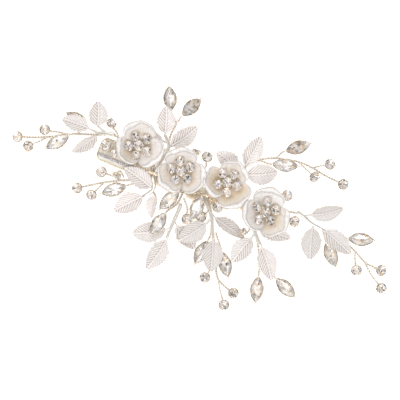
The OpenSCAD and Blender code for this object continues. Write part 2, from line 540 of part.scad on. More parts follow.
stem_11 = [at(24.8, -28, 2.2), at(24.4, -20, 3.4), at(22.8, -13, 3.8), at(21.4, -8, 3.3), [35.2, -0.5, 3.2]];
branch_9 = [[
  [at(17.5, -13, 7.5), 78, turned(135), 0.9, wire_radius, [at(20.6, -12.4, 5.6), at(20.4, -9.2, 3.8)]]
], [
  [at(23.8, -37.5, 3.2), turned(262.9), 0, 0, stem_radius, stem_11],
  [at(35.8, -36.8, 2.7), turned(315), 0, 0, wire_radius,
    concat([at(28.4, -28.4, 1.4)], laid_under(stem_11, 1))]
]];

// ---------------------------------------------------------------- one module per node
module flower_1_petals() petals(flower_1);
module flower_1_settings() flower_settings(flower_1);
module flower_1_stones() flower_stones(flower_1);
module flower_2_petals() petals(flower_2);
module flower_2_settings() flower_settings(flower_2);
module flower_2_stones() flower_stones(flower_2);
module flower_3_petals() petals(flower_3);
module flower_3_settings() flower_settings(flower_3);
module flower_3_stones() flower_stones(flower_3);
module flower_4_petals() petals(flower_4);
module flower_4_settings() flower_settings(flower_4);
module flower_4_stones() flower_stones(flower_4);
module leaf_sprig_1() sprig(sprig_1);
module leaf_sprig_2() sprig(sprig_2);
module leaf_sprig_3() sprig(sprig_3);
module leaf_sprig_4() sprig(sprig_4);
module leaf_sprig_5() sprig(sprig_5);
module leaf_sprig_6() sprig(sprig_6);
module leaf_sprig_7() sprig(sprig_7);
module leaf_sprig_8() sprig(sprig_8);
module branch_1_wires() wires(branch_1);
module branch_1_settings() settings(branch_1);
module branch_1_stones() stones(branch_1);
module branch_2_wires() wires(branch_2);
module branch_2_settings() settings(branch_2);
module branch_2_stones() stones(branch_2);
module branch_3_wires() wires(branch_3);
module branch_3_settings() settings(branch_3);
module branch_3_stones() stones(branch_3);
module branch_4_wires() wires(branch_4);
module branch_4_settings() settings(branch_4);
module branch_4_stones() stones(branch_4);
module branch_5_wires() wires(branch_5);
module branch_5_settings() settings(branch_5);
module branch_5_stones() stones(branch_5);
module branch_6_wires() wires(branch_6);
module branch_6_settings() settings(branch_6);
module branch_6_stones() stones(branch_6);
module branch_7_wires() wires(branch_7);
module branch_7_settings() settings(branch_7);
module branch_7_stones() stones(branch_7);
module branch_8_wires() wires(branch_8);
module branch_8_settings() settings(branch_8);
module branch_8_stones() stones(branch_8);
module branch_9_wires() wires(branch_9);
module branch_9_settings() settings(branch_9);
module branch_9_stones() stones(branch_9);

upper_arm();
lower_arm();
hinge_pin();
torsion_spring();
spine_wire();
binding_wire();
flower_stems();
flower_1_petals();
flower_1_settings();
flower_1_stones();
flower_2_petals();
flower_2_settings();
flower_2_stones();
flower_3_petals();
flower_3_settings();
flower_3_stones();
flower_4_petals();
flower_4_settings();
flower_4_stones();
leaf_sprig_1();
leaf_sprig_2();
leaf_sprig_3();
leaf_sprig_4();
leaf_sprig_5();
leaf_sprig_6();
leaf_sprig_7();
leaf_sprig_8();
branch_1_wires();
branch_1_settings();
branch_1_stones();
branch_2_wires();
branch_2_settings();
branch_2_stones();
branch_3_wires();
branch_3_settings();
branch_3_stones();
branch_4_wires();
branch_4_settings();
branch_4_stones();
branch_5_wires();
branch_5_settings();
branch_5_stones();
branch_6_wires();
branch_6_settings();
branch_6_stones();
branch_7_wires();
branch_7_settings();
branch_7_stones();
branch_8_wires();
branch_8_settings();
branch_8_stones();
branch_9_wires();
branch_9_settings();
branch_9_stones();
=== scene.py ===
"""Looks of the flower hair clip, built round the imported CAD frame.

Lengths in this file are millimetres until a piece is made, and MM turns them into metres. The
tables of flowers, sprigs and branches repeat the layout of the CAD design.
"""

import math
from collections import namedtuple

import bpy
import numpy as np
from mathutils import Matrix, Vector


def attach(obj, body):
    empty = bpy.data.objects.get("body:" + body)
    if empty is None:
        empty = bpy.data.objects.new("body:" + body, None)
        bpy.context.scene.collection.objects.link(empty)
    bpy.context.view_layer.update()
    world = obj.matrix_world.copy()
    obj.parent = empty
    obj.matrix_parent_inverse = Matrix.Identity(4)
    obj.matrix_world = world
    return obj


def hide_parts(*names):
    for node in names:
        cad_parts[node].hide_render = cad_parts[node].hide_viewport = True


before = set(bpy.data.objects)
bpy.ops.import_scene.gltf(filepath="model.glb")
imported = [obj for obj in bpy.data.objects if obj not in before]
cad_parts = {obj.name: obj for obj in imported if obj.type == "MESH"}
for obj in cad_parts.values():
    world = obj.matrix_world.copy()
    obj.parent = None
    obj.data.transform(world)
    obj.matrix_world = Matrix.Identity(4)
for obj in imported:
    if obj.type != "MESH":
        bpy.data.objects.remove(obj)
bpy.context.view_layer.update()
MM = 0.001
rng = np.random.default_rng(7)

# ------------------------------------------------------------------ placing things
SPRAY_TURN = 22.5             # degrees from the clip's long axis to the sketch's
TURN = math.radians(SPRAY_TURN)
MIDDLE = (16.7, -2.7)         # the sketch's origin, on the clip
STEM_RADIUS, WIRE_RADIUS = 0.42, 0.34
UNDER_DROP, OVER_RISE = 0.86, 0.9         # from a stem's middle to a wire laid along it
ORIGIN = (0, 0, 0)


def array(values):
    return np.asarray(values, float)


def vec(*p):
    return array(p)


def at(x, y, z):
    """A point of the spray's sketch plane, carried onto the clip."""
    return vec(math.cos(TURN) * x - math.sin(TURN) * y + MIDDLE[0],
               math.sin(TURN) * x + math.cos(TURN) * y + MIDDLE[1], z)


def turned(a):
    return a + SPRAY_TURN


def unit(v):
    return v / np.linalg.norm(v)


def mix(a, b, t):
    return array(a) * (1 - t) + array(b) * t


def under(p):
    return array(p) - vec(0, 0, UNDER_DROP)


def over(p):
    return array(p) + vec(0, 0, OVER_RISE)


def laid_under(s, i):
    return [under(s[i]), under(mix(s[i], s[i + 1], 0.2))]


def laid_over(s, i):
    return [over(s[i]), over(mix(s[i], s[i + 1], 0.2))]


ARM_X = [-30, -22, -14, -6, 0, 10, 20, 27, 30]
ARM_Z = [12, 10.1, 8.2, 6.2, 4.9, 3.4, 2.2, 1.35, 1]
ARM_THICK = 0.8
SPINE_RADIUS = 1
TAIL_RADIUS = 0.7
TAB_WIDTH, TAB_OFFSET = 9.4, 1.5
GAP = 0.05
JAW_WIDTH = 6.2
PIN = (-8, 4)                 # x and z of the hinge pin


def arm_under(x):
    return float(np.interp(x, ARM_X, ARM_Z))


def spine_z(x):
    return arm_under(x) + ARM_THICK + SPINE_RADIUS + 3 * GAP


def tie(x, side):
    return vec(x, side * (SPINE_RADIUS + STEM_RADIUS + GAP + 0.05), spine_z(x) + 0.15)


# ------------------------------------------------------------------ flowers' places
# petal and stone are the headings of one petal and of one stone, lean is the heading of the tilt
Flower = namedtuple("Flower", "middle petal stone tilt lean")
FLOWERS = [Flower(at(-25.4, 22.5, 12.9), turned(85), turned(110), 2, turned(330)),
           Flower(at(-7.9, 12.1, 11), turned(90), turned(94), 4, turned(250)),
           Flower(at(11.4, 7.2, 9.4), turned(60), turned(48), 4, turned(60)),
           Flower(at(27.1, -4.8, 8.6), turned(75), turned(82), 6, turned(330))]

# ------------------------------------------------------------------ leaf sprigs' places
# sprig = [main stalk, leaves]; leaf = [joint on the stalk, foot, tip, width, roll, bow]
sprig_1 = [[at(-36, 27.2, 9.4), at(-39, 27.8, 8.9), at(-41.5, 28, 8.3)], [
  [at(-41.5, 28, 8.3), at(-46.5, 30, 7.8), at(-57.5, 34, 6.4), 6.4, 0, 0.6],
  [at(-39, 27.8, 8.9), at(-42.6, 31, 9), at(-42.4, 41, 11), 7.6, 0, 0.8],
  [at(-41.5, 28, 8.3), at(-43, 26.8, 7.9), at(-53.5, 20, 5.4), 7.6, -52, 0.8]]]
sprig_2 = [[tie(-5, 1), [-4.6, 5.5, 8.6], at(-13, 22, 8.3), at(-14.5, 27, 8.6)], [
  [at(-14.5, 27, 8.6), at(-14.5, 28, 8.7), at(-14, 39, 10.6), 7.4, 0, 0.6],
  [at(-13, 22, 8.3), at(-11.8, 22.6, 8.3), at(-1, 30.5, 6.8), 7, 0, 0.8],
  [at(-13.6, 24, 8.4), at(-15.4, 24.6, 8.3), at(-27, 25.5, 7.6), 7, 0, 0.6]]]
sprig_3 = [[tie(26.5, 1), [27, 6.5, 5.4], at(17.5, 11.5, 7.2)], [
  [at(17.5, 11.5, 7.2), at(19, 14.4, 7.7), at(25.5, 26.5, 8.2), 7.1, 0, 0.8],
  [at(17.5, 11.5, 7.2), at(19.8, 10.4, 7.2), at(32.5, 11.5, 5.4), 8.2, 0, 0.8],
  [at(17.5, 11.5, 7.2), at(16, 12.8, 7.3), at(7, 20, 7.7), 7.1, 0, 0.6]]]
sprig_4 = [[at(41, -5.2, 5.5), at(44, -7.5, 5.7), at(46.5, -9.8, 5.7), at(51, -12.2, 5.6)], [
  [at(43, -6.7, 5.6), at(46.5, -6.3, 5.9), at(60, -3.5, 5), 6.4, 15, 0.8],
  [at(46.5, -9.8, 5.7), at(47, -11.8, 5.7), at(46, -25, 4.4), 8.1, 0, 0.8],
  [at(51, -12.2, 5.6), at(52.2, -12.8, 5.7), at(63, -22.5, 5.4), 7.1, 0, 0.8]]]
sprig_5 = [[tie(-5.2, -1), [-3.4, -4.4, 7.2], at(-20, 4, 6.4), at(-23.2, 1.8, 5.6)], [
  [[-3.4, -4.4, 7.2], at(-20.6, 5.4, 7.8), at(-31.5, 13.5, 11.6), 7.4, 0, 1],
  [at(-23.2, 1.8, 5.6), at(-24.2, 1.4, 5.6), at(-36, -4.5, 4.2), 7.9, 0, 0.8],
  [at(-20, 4, 6.4), at(-18.6, 1.6, 5.4), at(-20.4, -7.5, 3.6), 7.6, 55, 0.6]]]
sprig_6 = [[at(-8.2, -2.2, 4.9), at(-9.5, -5.5, 4.6), at(-11.8, -10.5, 4.3),
            at(-13.8, -15.5, 4.1)], [
  [at(-12.6, -12.2, 4.3), at(-14.5, -12.4, 4.5), at(-28.5, -14, 3.8), 8.3, 0, 0.6],
  [at(-13.8, -15.5, 4.1), at(-14.2, -17, 4.2), at(-22.5, -29, 3.2), 7.5, 0, 0.6],
  [at(-11, -9, 4.4), at(-9.8, -11, 4.2), at(-2.2, -20.4, 3.9), 7.2, 0, 0.2]]]
sprig_7 = [[tie(18, -1) - vec(0, 0.2, 0), at(3.4, -2.6, 4.7), at(4.8, -7, 5.2),
            at(5.5, -15.8, 5)], [
  [at(4.8, -7.5, 5.2), at(2.4, -10, 5.9), at(-9, -17, 5.9), 8.2, 0, 0.6],
  [at(5.5, -15.8, 5), at(5.5, -17, 5), at(4.5, -30, 4.7), 8.2, 0, 0.8],
  [at(4.4, -5.5, 5.1), at(6.4, -7.6, 5.4), at(18.5, -16, 4.4), 7, -40, 0.6]]]
sprig_8 = [[[37.2, -0.6, 4.2], at(22, -8.5, 4.9), at(22.8, -12.8, 5.1), at(25.2, -18.6, 5.1)], [
  [at(23.2, -13.5, 5.1), at(21.3, -16.2, 5.3), at(13.5, -26, 4.4), 7.8, 0, 0.8],
  [at(25.2, -18.6, 5.1), at(25.8, -20, 5.1), at(30, -33.5, 4.4), 7.5, 0, 0.8],
  [at(22.2, -10.5, 5), at(24.6, -11.8, 5.2), at(38, -16, 4.6), 6.6, 15, 0.8]]]

# ------------------------------------------------------------------ branches' places
Stone = namedtuple("Stone", "place tilt heading size wire path")


def stone(x, y, z, tilt, heading, *path, size=1, wire=WIRE_RADIUS):
    """A stone of the sketch, with the route of its wire from the stone inward."""
    return Stone(at(x, y, z), tilt, turned(heading), size, wire, path)


# branch = [round stones, navettes]; a stem runs from its last stone in to the spine
stem_1 = [at(-70, 26.3, 1.2), at(-63.5, 26.5, 1.8), at(-54.5, 27.5, 3), at(-48.5, 27.5, 4.6),
  at(-42, 27.3, 6.6), at(-36, 27, 8.4), at(-31, 24, 10), [-16.5, 5.5, 10.6], tie(-13, 1)]
branch_1 = [[
    stone(-76.5, 26.5, 3.4, 12, 180, *stem_1, wire=STEM_RADIUS),
    stone(-72, 22.5, 3.4, 15, 230, at(-68, 24.4, 1), *laid_under(stem_1, 1)),
    stone(-65, 29.5, 4.2, 10, 100, at(-60, 28.6, 2), *laid_under(stem_1, 2)),
    stone(-39, 22.5, 15.2, 15, 160, at(-34.6, 24.2, 12.6), at(-32.6, 24.9, 11.3),
        over(stem_1[6])),
    stone(-35.6, 19.2, 14, 6, 200, at(-33.2, 21.4, 12.1), at(-30.8, 22.6, 11.3), size=0.8),
    stone(-36.7, 32, 10, 38, 40, at(-34.9, 28.6, 8.4), at(-33.7, 26.1, 7.8), size=0.95)
], [
    stone(-59.5, 24.3, 6.6, 0, 209, at(-51, 27.9, 4.9), *laid_over(stem_1, 3)),
    stone(-51.3, 33.5, 4.2, -6, 145, at(-44.6, 28.9, 4), *laid_under(stem_1, 4))
]]

stem_2 = [at(-45, 6.5, 1.9), at(-40, 7.4, 2.9), at(-33, 8.2, 5.4),
  [-12.4, -5.6, 7.5], [-10.6, -3.4, 8.6], tie(-9.5, -1)]
branch_2 = [[
    stone(-51.5, 5, 3.6, 12, 190, *stem_2, wire=STEM_RADIUS),
    stone(-45.5, 2, 3.8, 15, 230, at(-42.4, 5.2, 1.9), *laid_under(stem_2, 1)),
    stone(-41.2, 11.8, 6, 12, 130, at(-36.4, 10, 4), *laid_under(stem_2, 2)),
    stone(-34.9, 10, 8.2, 80, 247.5, at(-33.2, 12, 7.5), at(-31.8, 9.6, 6.9), size=0.9)
], [
    stone(-36, 4.3, 4.4, 0, 197.6, at(-27.6, 7.2, 4.4), under(stem_2[3]))
]]

stem_3 = [at(-10, 32, 6.2), at(-12.3, 27, 6), at(-13.4, 22, 6.4), [-6.2, 6.5, 7.7], tie(-6.5, 1)]
stem_4 = [at(2.2, 13.5, 7.1), [11, 6, 6.8], tie(7.6, 1)]
branch_3 = [[
    stone(3, 18, 9.4, 20, 60, *stem_4),
    stone(-1.5, 20.5, 8.4, 80, 75, at(-2.2, 16.5, 7), at(-1.4, 12.6, 6), [8.6, 5.2, 5.9],
        size=0.9)
], [
    stone(-12.5, 42.5, 6.2, -20, 96, *stem_3, wire=STEM_RADIUS),
    stone(-3.5, 38.8, 6, -20, 43, at(-8.6, 33.6, 5.4), *laid_under(stem_3, 0))
]]

stem_5 = [at(52, 10.5, 1.7), at(47, 13.5, 2.1), at(41, 16, 2.9), at(31.5, 17.5, 4.4),
          at(24, 16.5, 5.6),
  at(19, 13.6, 6), [29.2, 6.5, 4.6], tie(28.6, 1)]
branch_4 = [[
    stone(60, 6.5, 3.6, 12, 330, *stem_5, wire=STEM_RADIUS),
    stone(54.5, 15, 3.8, 10, 30, at(50.4, 14.3, 1.3), *laid_under(stem_5, 1)),
    stone(48, 9.5, 4.2, 28, 310, at(44.6, 12.8, 1.9), *laid_under(stem_5, 2))
], [
    stone(41, 22, 4.8, -10, 17, at(33.4, 19, 3.7), *laid_under(stem_5, 3)),
    stone(35.5, 14.5, 8.4, 0, 355, at(26.6, 15.9, 6.5), *laid_over(stem_5, 4))
]]

stem_7 = [at(72.6, -28, 1.3), at(69, -26, 1.8), at(65, -21.5, 2.6), at(60, -17.5, 3.4),
          at(51, -12.5, 4.5),
  at(45.5, -9.3, 4.7), at(41.5, -6, 4.6), at(35, -4.4, 4.4), [44.6, 5, 4.4]]
branch_5 = [[
    stone(36.5, 2, 7.2, 14, 30, at(32, -0.8, 4.8), [42.2, 5, 4.9]),
    stone(39.5, -9, 6.6, 14, 320, at(34.6, -7.5, 4.2), [44.3, 3, 4.1]),
    stone(76, -29.5, 3.4, 12, 10, *stem_7, wire=STEM_RADIUS),
    stone(65.5, -29.5, 3.6, 12, 270, at(65, -25, 1.2), *laid_under(stem_7, 2)),
    stone(76, -37, 3.4, 14, 300, at(71.6, -31, 0.9), *laid_under(stem_7, 1))
], [
    stone(54.8, -22.8, 3.4, 0, 291.4, at(51.8, -14.6, 2.8), *laid_under(stem_7, 4)),
    stone(67.3, -16.5, 5.6, 0, 355, at(57.6, -14.8, 3.5), at(54, -12.9, 3.2))
]]

stem_8 = [at(-11.4, -3, 6.1), at(-9, -0.8, 6.1), tie(8.7, -1)]
branch_6 = [[
    stone(-5.5, -8, 3.8, 14, 280, at(-5.4, -3.4, 3), at(-6.8, 0.6, 4.6))
], [
    stone(-17.5, -9.8, 8.2, 0, 233.6, *stem_8, wire=STEM_RADIUS),
    stone(-12.8, 0, 9.2, 0, 223, [6.6, -1.9, 6.9])
]]

branch_7 = [[
    stone(0.5, -7, 4.2, 10, 250, at(3.2, -4.9, 2.7), at(4, -3, 3.6)),
    stone(7.5, -3, 6.4, 12, 320, tie(24.2, -1))
], [
    stone(-1.3, -3.3, 8.2, -20, 247.6, [16.8, -1.7, 6.6], tie(16.5, -1))
]]

stem_10 = [at(10.6, -36.5, 1.4), at(7.5, -33, 1.9), at(6.6, -28.5, 2.7), at(6.3, -22, 3.3),
  at(5.6, -13.5, 3.7), at(5, -8.5, 3.9)]
branch_8 = [[
    stone(14, -39, 3.6, 12, 310, *stem_10, wire=STEM_RADIUS),
    stone(10, -44, 3.4, 14, 270, at(8.4, -38, 1), *laid_under(stem_10, 1)),
    stone(2, -32.5, 3.6, 12, 220, at(4.6, -28.4, 1.6), *laid_under(stem_10, 3))
], [
    stone(0.5, -22, 2.6, 0, 241.4, at(4.4, -14.4, 1.6), at(4.6, -10.5, 2.9)),
    stone(10.5, -27, 3.2, 0, 284, at(7.9, -17.6, 2.4), at(6.6, -13.5, 2.8))
]]

stem_11 = [at(24.8, -28, 2.2), at(24.4, -20, 3.4), at(22.8, -13, 3.8), at(21.4, -8, 3.3),
           [35.2, -0.5, 3.2]]
branch_9 = [[
    stone(17.5, -13, 7.5, 78, 135, at(20.6, -12.4, 5.6), at(20.4, -9.2, 3.8), size=0.9)
], [
    stone(23.8, -37.5, 3.2, 0, 262.9, *stem_11, wire=STEM_RADIUS),
    stone(35.8, -36.8, 2.7, 0, 315, at(28.4, -28.4, 1.4), *laid_under(stem_11, 1))
]]

SPINE = [[x, 0, spine_z(x)] for x in (-14, -6, 0, 10, 20, 28)] + [[36.5, 1.2, 3.8], [43, 3, 4.2]]
SPRIGS = [sprig_1, sprig_2, sprig_3, sprig_4, sprig_5, sprig_6, sprig_7, sprig_8]
BRANCHES = [branch_1, branch_2, branch_3, branch_4, branch_5, branch_6, branch_7, branch_8,
            branch_9]


# ------------------------------------------------------------------ mesh tools
class Shape:
    """Gathers points and faces in mm, with named marks on points and tones on faces."""

    def __init__(self):
        self.points, self.faces, self.marks, self.tones = [], [], [], []
        self.materials, self.smooth, self.count = [], [], 0

    def add(self, points, faces, marks=None, material=0, smooth=True, tones=None):
        """faces is a list of arrays, one row of point numbers per face."""
        points = array(points).reshape(-1, 3)
        self.points.append(points)
        self.marks.append({k: np.broadcast_to(array(v), len(points))
                           for k, v in (marks or {}).items()})
        total = 0
        for f in faces:
            f = np.asarray(f, int)
            self.faces.append(f + self.count)
            self.smooth.append(np.full(len(f), smooth))
            total += len(f)
        self.materials.append(np.broadcast_to(np.asarray(material, int), total))
        if tones is not None:
            self.tones.append(array(tones))
        self.count += len(points)

    def make(self, name, materials):
        points = np.concatenate(self.points) * MM
        sizes = np.concatenate([np.full(len(f), f.shape[1]) for f in self.faces])
        corners = np.concatenate([f.ravel() for f in self.faces])
        mesh = bpy.data.meshes.new(name)
        mesh.vertices.add(len(points))
        mesh.vertices.foreach_set("co", points.astype(np.float32).ravel())
        mesh.loops.add(len(corners))
        mesh.loops.foreach_set("vertex_index", corners.astype(np.int32))
        mesh.polygons.add(len(sizes))
        starts = np.concatenate([[0], np.cumsum(sizes)[:-1]])
        mesh.polygons.foreach_set("loop_start", starts.astype(np.int32))
        mesh.polygons.foreach_set("material_index", np.concatenate(self.materials).astype(np.int32))
        mesh.polygons.foreach_set("use_smooth", np.concatenate(self.smooth))
        mesh.update(calc_edges=True)
        for key in sorted({k for m in self.marks for k in m}):
            values = np.concatenate([m.get(key, np.zeros(len(p)))
                                     for m, p in zip(self.marks, self.points)])
            mesh.attributes.new(key, "FLOAT", "POINT").data.foreach_set(
                "value", values.astype(np.float32))
        if self.tones:
            tones = np.concatenate(self.tones)
            mesh.attributes.new("tone", "FLOAT_COLOR", "FACE").data.foreach_set(
                "color", tones.astype(np.float32).ravel())
        for m in materials:
            mesh.materials.append(m)
        made = bpy.data.objects.new(name, mesh)
        bpy.context.scene.collection.objects.link(made)
        return made


def loft_faces(rows, cols, closed):
    """Quads between rings. Each ring closes on itself; closed joins the last ring to the first."""
    r = np.arange(rows if closed else rows - 1)[:, None]
    c = np.arange(cols)[None, :]
    a, b = r * cols + c, r * cols + (c + 1) % cols
    d, e = ((r + 1) % rows) * cols + c, ((r + 1) % rows) * cols + (c + 1) % cols
    return np.stack(np.broadcast_arrays(a, b, e, d), -1).reshape(-1, 4)


def volume(points, faces):
    total = 0.0
    for f in faces:
        a = points[f[:, 0]]
        for k in range(1, f.shape[1] - 1):
            total += np.einsum("ij,ij->", a, np.cross(points[f[:, k]], points[f[:, k + 1]]))
    return total


def outward(points, faces):
    """The same faces, all turned outward."""
    return [f[:, ::-1] for f in faces] if volume(points, faces) < 0 else faces


def loft(rings, closed=False):
    """A closed solid over rings of points, as (points, faces)."""
    rings = array(rings)
    rows, cols = rings.shape[:2]
    points = rings.reshape(-1, 3)
    faces = [loft_faces(rows, cols, closed)]
    if not closed:
        faces.append(np.arange(cols)[None, ::-1])
        faces.append((np.arange(cols) + (rows - 1) * cols)[None, :])
    return points, outward(points, faces)


def full_turn(n):
    """n even steps round a circle, in radians."""
    return np.linspace(0, 2 * math.pi, n, endpoint=False)


def lathe(profile, sides, wave=None):
    """A solid turned about Z from a closed [radius, z] profile; wave(angle, radius, z) bends it."""
    profile = array(profile)
    turn = full_turn(sides)[:, None]
    r, z = profile[:, 0][None, :], profile[:, 1][None, :]
    if wave is not None:
        r, z = wave(turn, r, z)
    r, z = np.broadcast_arrays(r + 0 * turn, z + 0 * turn)
    rings = np.stack([r * np.cos(turn), r * np.sin(turn), z], -1)
    return loft(rings, closed=True)


def catmull(points, step):
    """A smooth line through the points, stepped about every `step` mm."""
    p = [array(q) for q in points]
    last = len(p) - 1
    out = []
    for i in range(last):
        a, b, c, d = p[max(i - 1, 0)], p[i], p[i + 1], p[min(i + 2, last)]
        k = max(1, math.ceil(np.linalg.norm(c - b) / step))
        t = (np.arange(k) / k)[:, None]
        out.append(0.5 * (2 * b + (c - a) * t + (2 * a - 5 * b + 4 * c - d) * t * t
                          + (3 * b - a - 3 * c + d) * t ** 3))
    return np.concatenate([*out, p[-1][None]])


def travel(points):
    """Distance along a line at each of its points."""
    return np.concatenate([[0], np.cumsum(np.linalg.norm(np.diff(points, axis=0), axis=1))])


def frames(points):
    """Tangent and two cross directions at each point, with as little twist as can be."""
    t = np.concatenate([points[1:], points[-1:]]) - np.concatenate([points[:1], points[:-1]])
    t /= np.linalg.norm(t, axis=1)[:, None]
    u = np.empty_like(t)
    u[0] = unit(np.cross(vec(0, 0, 1) if abs(t[0][2]) < 0.9 else vec(1, 0, 0), t[0]))
    for i in range(1, len(t)):
        u[i] = unit(u[i - 1] - t[i] * (u[i - 1] @ t[i]))
    return t, u, np.cross(t, u)


def sweep(points, radius, sides=8, flat=1.0, up=None):
    """A round bar along a line, with rounded ends. flat squashes it toward `up`."""
    points = array(points)
    radius = np.broadcast_to(array(radius), len(points))
    t, u, v = frames(points)
    if up is not None:
        u = np.cross(array(up), t)
        u /= np.linalg.norm(u, axis=1)[:, None]
        v = np.cross(t, u)
    # two smaller rings past each end round it off
    back, share = vec(0.9, 0.55), vec(0.42, 0.84)
    points = np.concatenate([points[0] - t[0] * radius[0] * back[:, None], points,
                             points[-1] + t[-1] * radius[-1] * back[::-1, None]])
    u, v = (np.concatenate([w[:1], w[:1], w, w[-1:], w[-1:]]) for w in (u, v))
    radius = np.concatenate([radius[0] * share, radius, radius[-1] * share[::-1]])
    turn = full_turn(sides)
    ring = (np.cos(turn)[None, :, None] * u[:, None, :]
            + flat * np.sin(turn)[None, :, None] * v[:, None, :])
    return loft(points[:, None, :] + radius[:, None, None] * ring)


def twisted(points, radius, pitch=2.4, strands=2, sides=7, step=0.2):
    """Strands of round wire wound round each other, `radius` over all. Gives one solid each."""
    line = catmull(points, step)
    along = travel(line)
    _, u, v = frames(line)
    strand = radius / 2 if strands == 2 else radius * 0.37
    off = radius - strand
    out = []
    for k in range(strands):
        turn = (2 * math.pi * (along / pitch + k / strands))[:, None]
        out.append(sweep(line + off * (np.cos(turn) * u + np.sin(turn) * v), strand, sides))
    return out


def matrix(move, *turns, size=1.0):
    """Turn by each (axis, degrees), last first, then scale and move."""
    m = np.eye(3)
    for axis, degrees in turns:
        c, s = math.cos(math.radians(degrees)), math.sin(math.radians(degrees))
        m = m @ {"x": np.array([[1, 0, 0], [0, c, -s], [0, s, c]]),
                 "y": np.array([[c, 0, s], [0, 1, 0], [-s, 0, c]]),
                 "z": np.array([[c, -s, 0], [s, c, 0], [0, 0, 1]])}[axis]
    m = m * size
    return lambda p: array(p).reshape(-1, 3) @ m.T + array(move)


def at_round(s):
    return matrix(s.place, ("z", s.heading), ("y", s.tilt), size=s.size)


def at_navette(s):
    return matrix(s.place, ("z", s.heading), ("y", -s.tilt))


def at_flower(f):
    return matrix(f.middle, ("z", f.lean), ("y", f.tilt), ("z", -f.lean))


# ------------------------------------------------------------------ materials
def new_material(name, color, metallic=0.0, roughness=0.4, **values):
    m = bpy.data.materials.new(name)
    m.use_nodes = True
    tree = m.node_tree
    shader = tree.nodes["Principled BSDF"]
    shader.inputs["Base Color"].default_value = (*color, 1)
    shader.inputs["Metallic"].default_value = metallic
    shader.inputs["Roughness"].default_value = roughness
    for key, value in values.items():
        shader.inputs[key.replace("_", " ")].default_value = value
    return m, tree, shader


def node(tree, kind, **values):
    n = tree.nodes.new(kind)
    for key, value in values.items():
        if hasattr(n, key):
            setattr(n, key, value)
        else:
            n.inputs[key.replace("_", " ")].default_value = value
    return n


def feed(n, socket, value):
    """Link a value into a node's socket."""
    n.id_data.links.new(value, n.inputs[socket])


def noise(tree, size, detail=3.0, stretch=None):
    """Noise with lumps of about `size` mm, in the piece's own coordinates."""
    where = node(tree, "ShaderNodeTexCoord").outputs["Object"]
    if stretch is not None:
        scale = node(tree, "ShaderNodeMapping", Scale=stretch)
        feed(scale, "Vector", where)
        where = scale.outputs["Vector"]
    n = node(tree, "ShaderNodeTexNoise", Scale=1 / (size * MM), Detail=detail)
    feed(n, "Vector", where)
    return n.outputs["Fac"]


def cells(tree, size):
    """A level for each of many small cells about `size` mm across."""
    n = node(tree, "ShaderNodeTexVoronoi", Scale=1 / (size * MM))
    feed(n, "Vector", node(tree, "ShaderNodeTexCoord").outputs["Object"])
    split = node(tree, "ShaderNodeSeparateColor")
    feed(split, "Color", n.outputs["Color"])
    return split.outputs["Red"]


def ramp(tree, value, stops):
    """Colours along a value; stops = [(place, colour)]."""
    r = node(tree, "ShaderNodeValToRGB")
    while len(r.color_ramp.elements) < len(stops):
        r.color_ramp.elements.new(0.5)
    for element, (place, color) in zip(r.color_ramp.elements, stops):
        element.position = place
        element.color = (*color, 1)
    feed(r, "Fac", value)
    return r.outputs["Color"]


def blend_colors(tree, share, a, b, mode="MIX"):
    """a where share is 0, b where it is 1. Each is a socket or a colour."""
    m = node(tree, "ShaderNodeMix", data_type="RGBA", blend_type=mode)
    for socket, value in ((m.inputs[0], share), (m.inputs[6], a), (m.inputs[7], b)):
        if hasattr(value, "links"):
            tree.links.new(value, socket)
        elif isinstance(value, tuple):
            socket.default_value = (*value, 1)
        else:
            socket.default_value = value
    return m.outputs[2]


def mark(tree, name):
    return node(tree, "ShaderNodeAttribute", attribute_name=name).outputs["Fac"]


def rescale(tree, value, low, high):
    r = node(tree, "ShaderNodeMapRange", To_Min=low, To_Max=high)
    feed(r, "Value", value)
    return r.outputs["Result"]


def bump(shader, height, depth, strength=1.0):
    """Relief of `depth` mm from a 0 to 1 height."""
    b = node(shader.id_data, "ShaderNodeBump", Strength=strength, Distance=depth * MM)
    feed(b, "Height", height)
    feed(shader, "Normal", b.outputs["Normal"])


def gold_material(name, light, dark, roughness, grain=0.5):
    m, tree, shader = new_material(name, light, metallic=1.0, roughness=roughness)
    patch = noise(tree, grain, 4)
    feed(shader, "Base Color", ramp(tree, patch, [(0.32, dark), (0.62, light)]))
    feed(shader, "Roughness", rescale(tree, noise(tree, grain * 0.4, 2), roughness * 0.6,
                                      roughness * 1.5))
    bump(shader, noise(tree, grain * 0.3, 3), 0.02, 0.5)
    return m


GOLD_EDGE = (0.70, 0.60, 0.46)
wire_gold = gold_material("twisted_wire_gold", (0.90, 0.84, 0.77), (0.60, 0.52, 0.43), 0.3, 0.5)
setting_gold = gold_material("setting_gold", (0.92, 0.86, 0.76), (0.74, 0.65, 0.52), 0.2, 0.7)
bind_gold = gold_material("binding_gold", (1.0, 0.94, 0.82), (0.78, 0.56, 0.36), 0.16, 0.5)
rim_gold = gold_material("rim_gold", (0.84, 0.74, 0.56), (0.56, 0.46, 0.30), 0.26, 0.8)
tail_silver = gold_material("tail_silver", (0.74, 0.72, 0.73), (0.44, 0.42, 0.42), 0.25, 0.5)


def stalk_material():
    """Cast metal, with painted shade along the middle of the stalk's top."""
    m, tree, shader = new_material("stalk_metal", (0.8, 0.78, 0.74), metallic=1.0, roughness=0.32)
    patch = ramp(tree, noise(tree, 0.8, 4), [(0.32, (0.84, 0.81, 0.77)), (0.62, (1.0, 0.98, 0.95))])
    # painted shade along the middle of the stalk's top
    hollow_shade = ramp(tree, mark(tree, "groove"), [(0.0, (1, 1, 1)), (1.0, (0.58, 0.55, 0.51))])
    feed(shader, "Base Color", blend_colors(tree, 1.0, patch, hollow_shade, "MULTIPLY"))
    bump(shader, noise(tree, 0.25, 3), 0.03, 0.5)
    return m


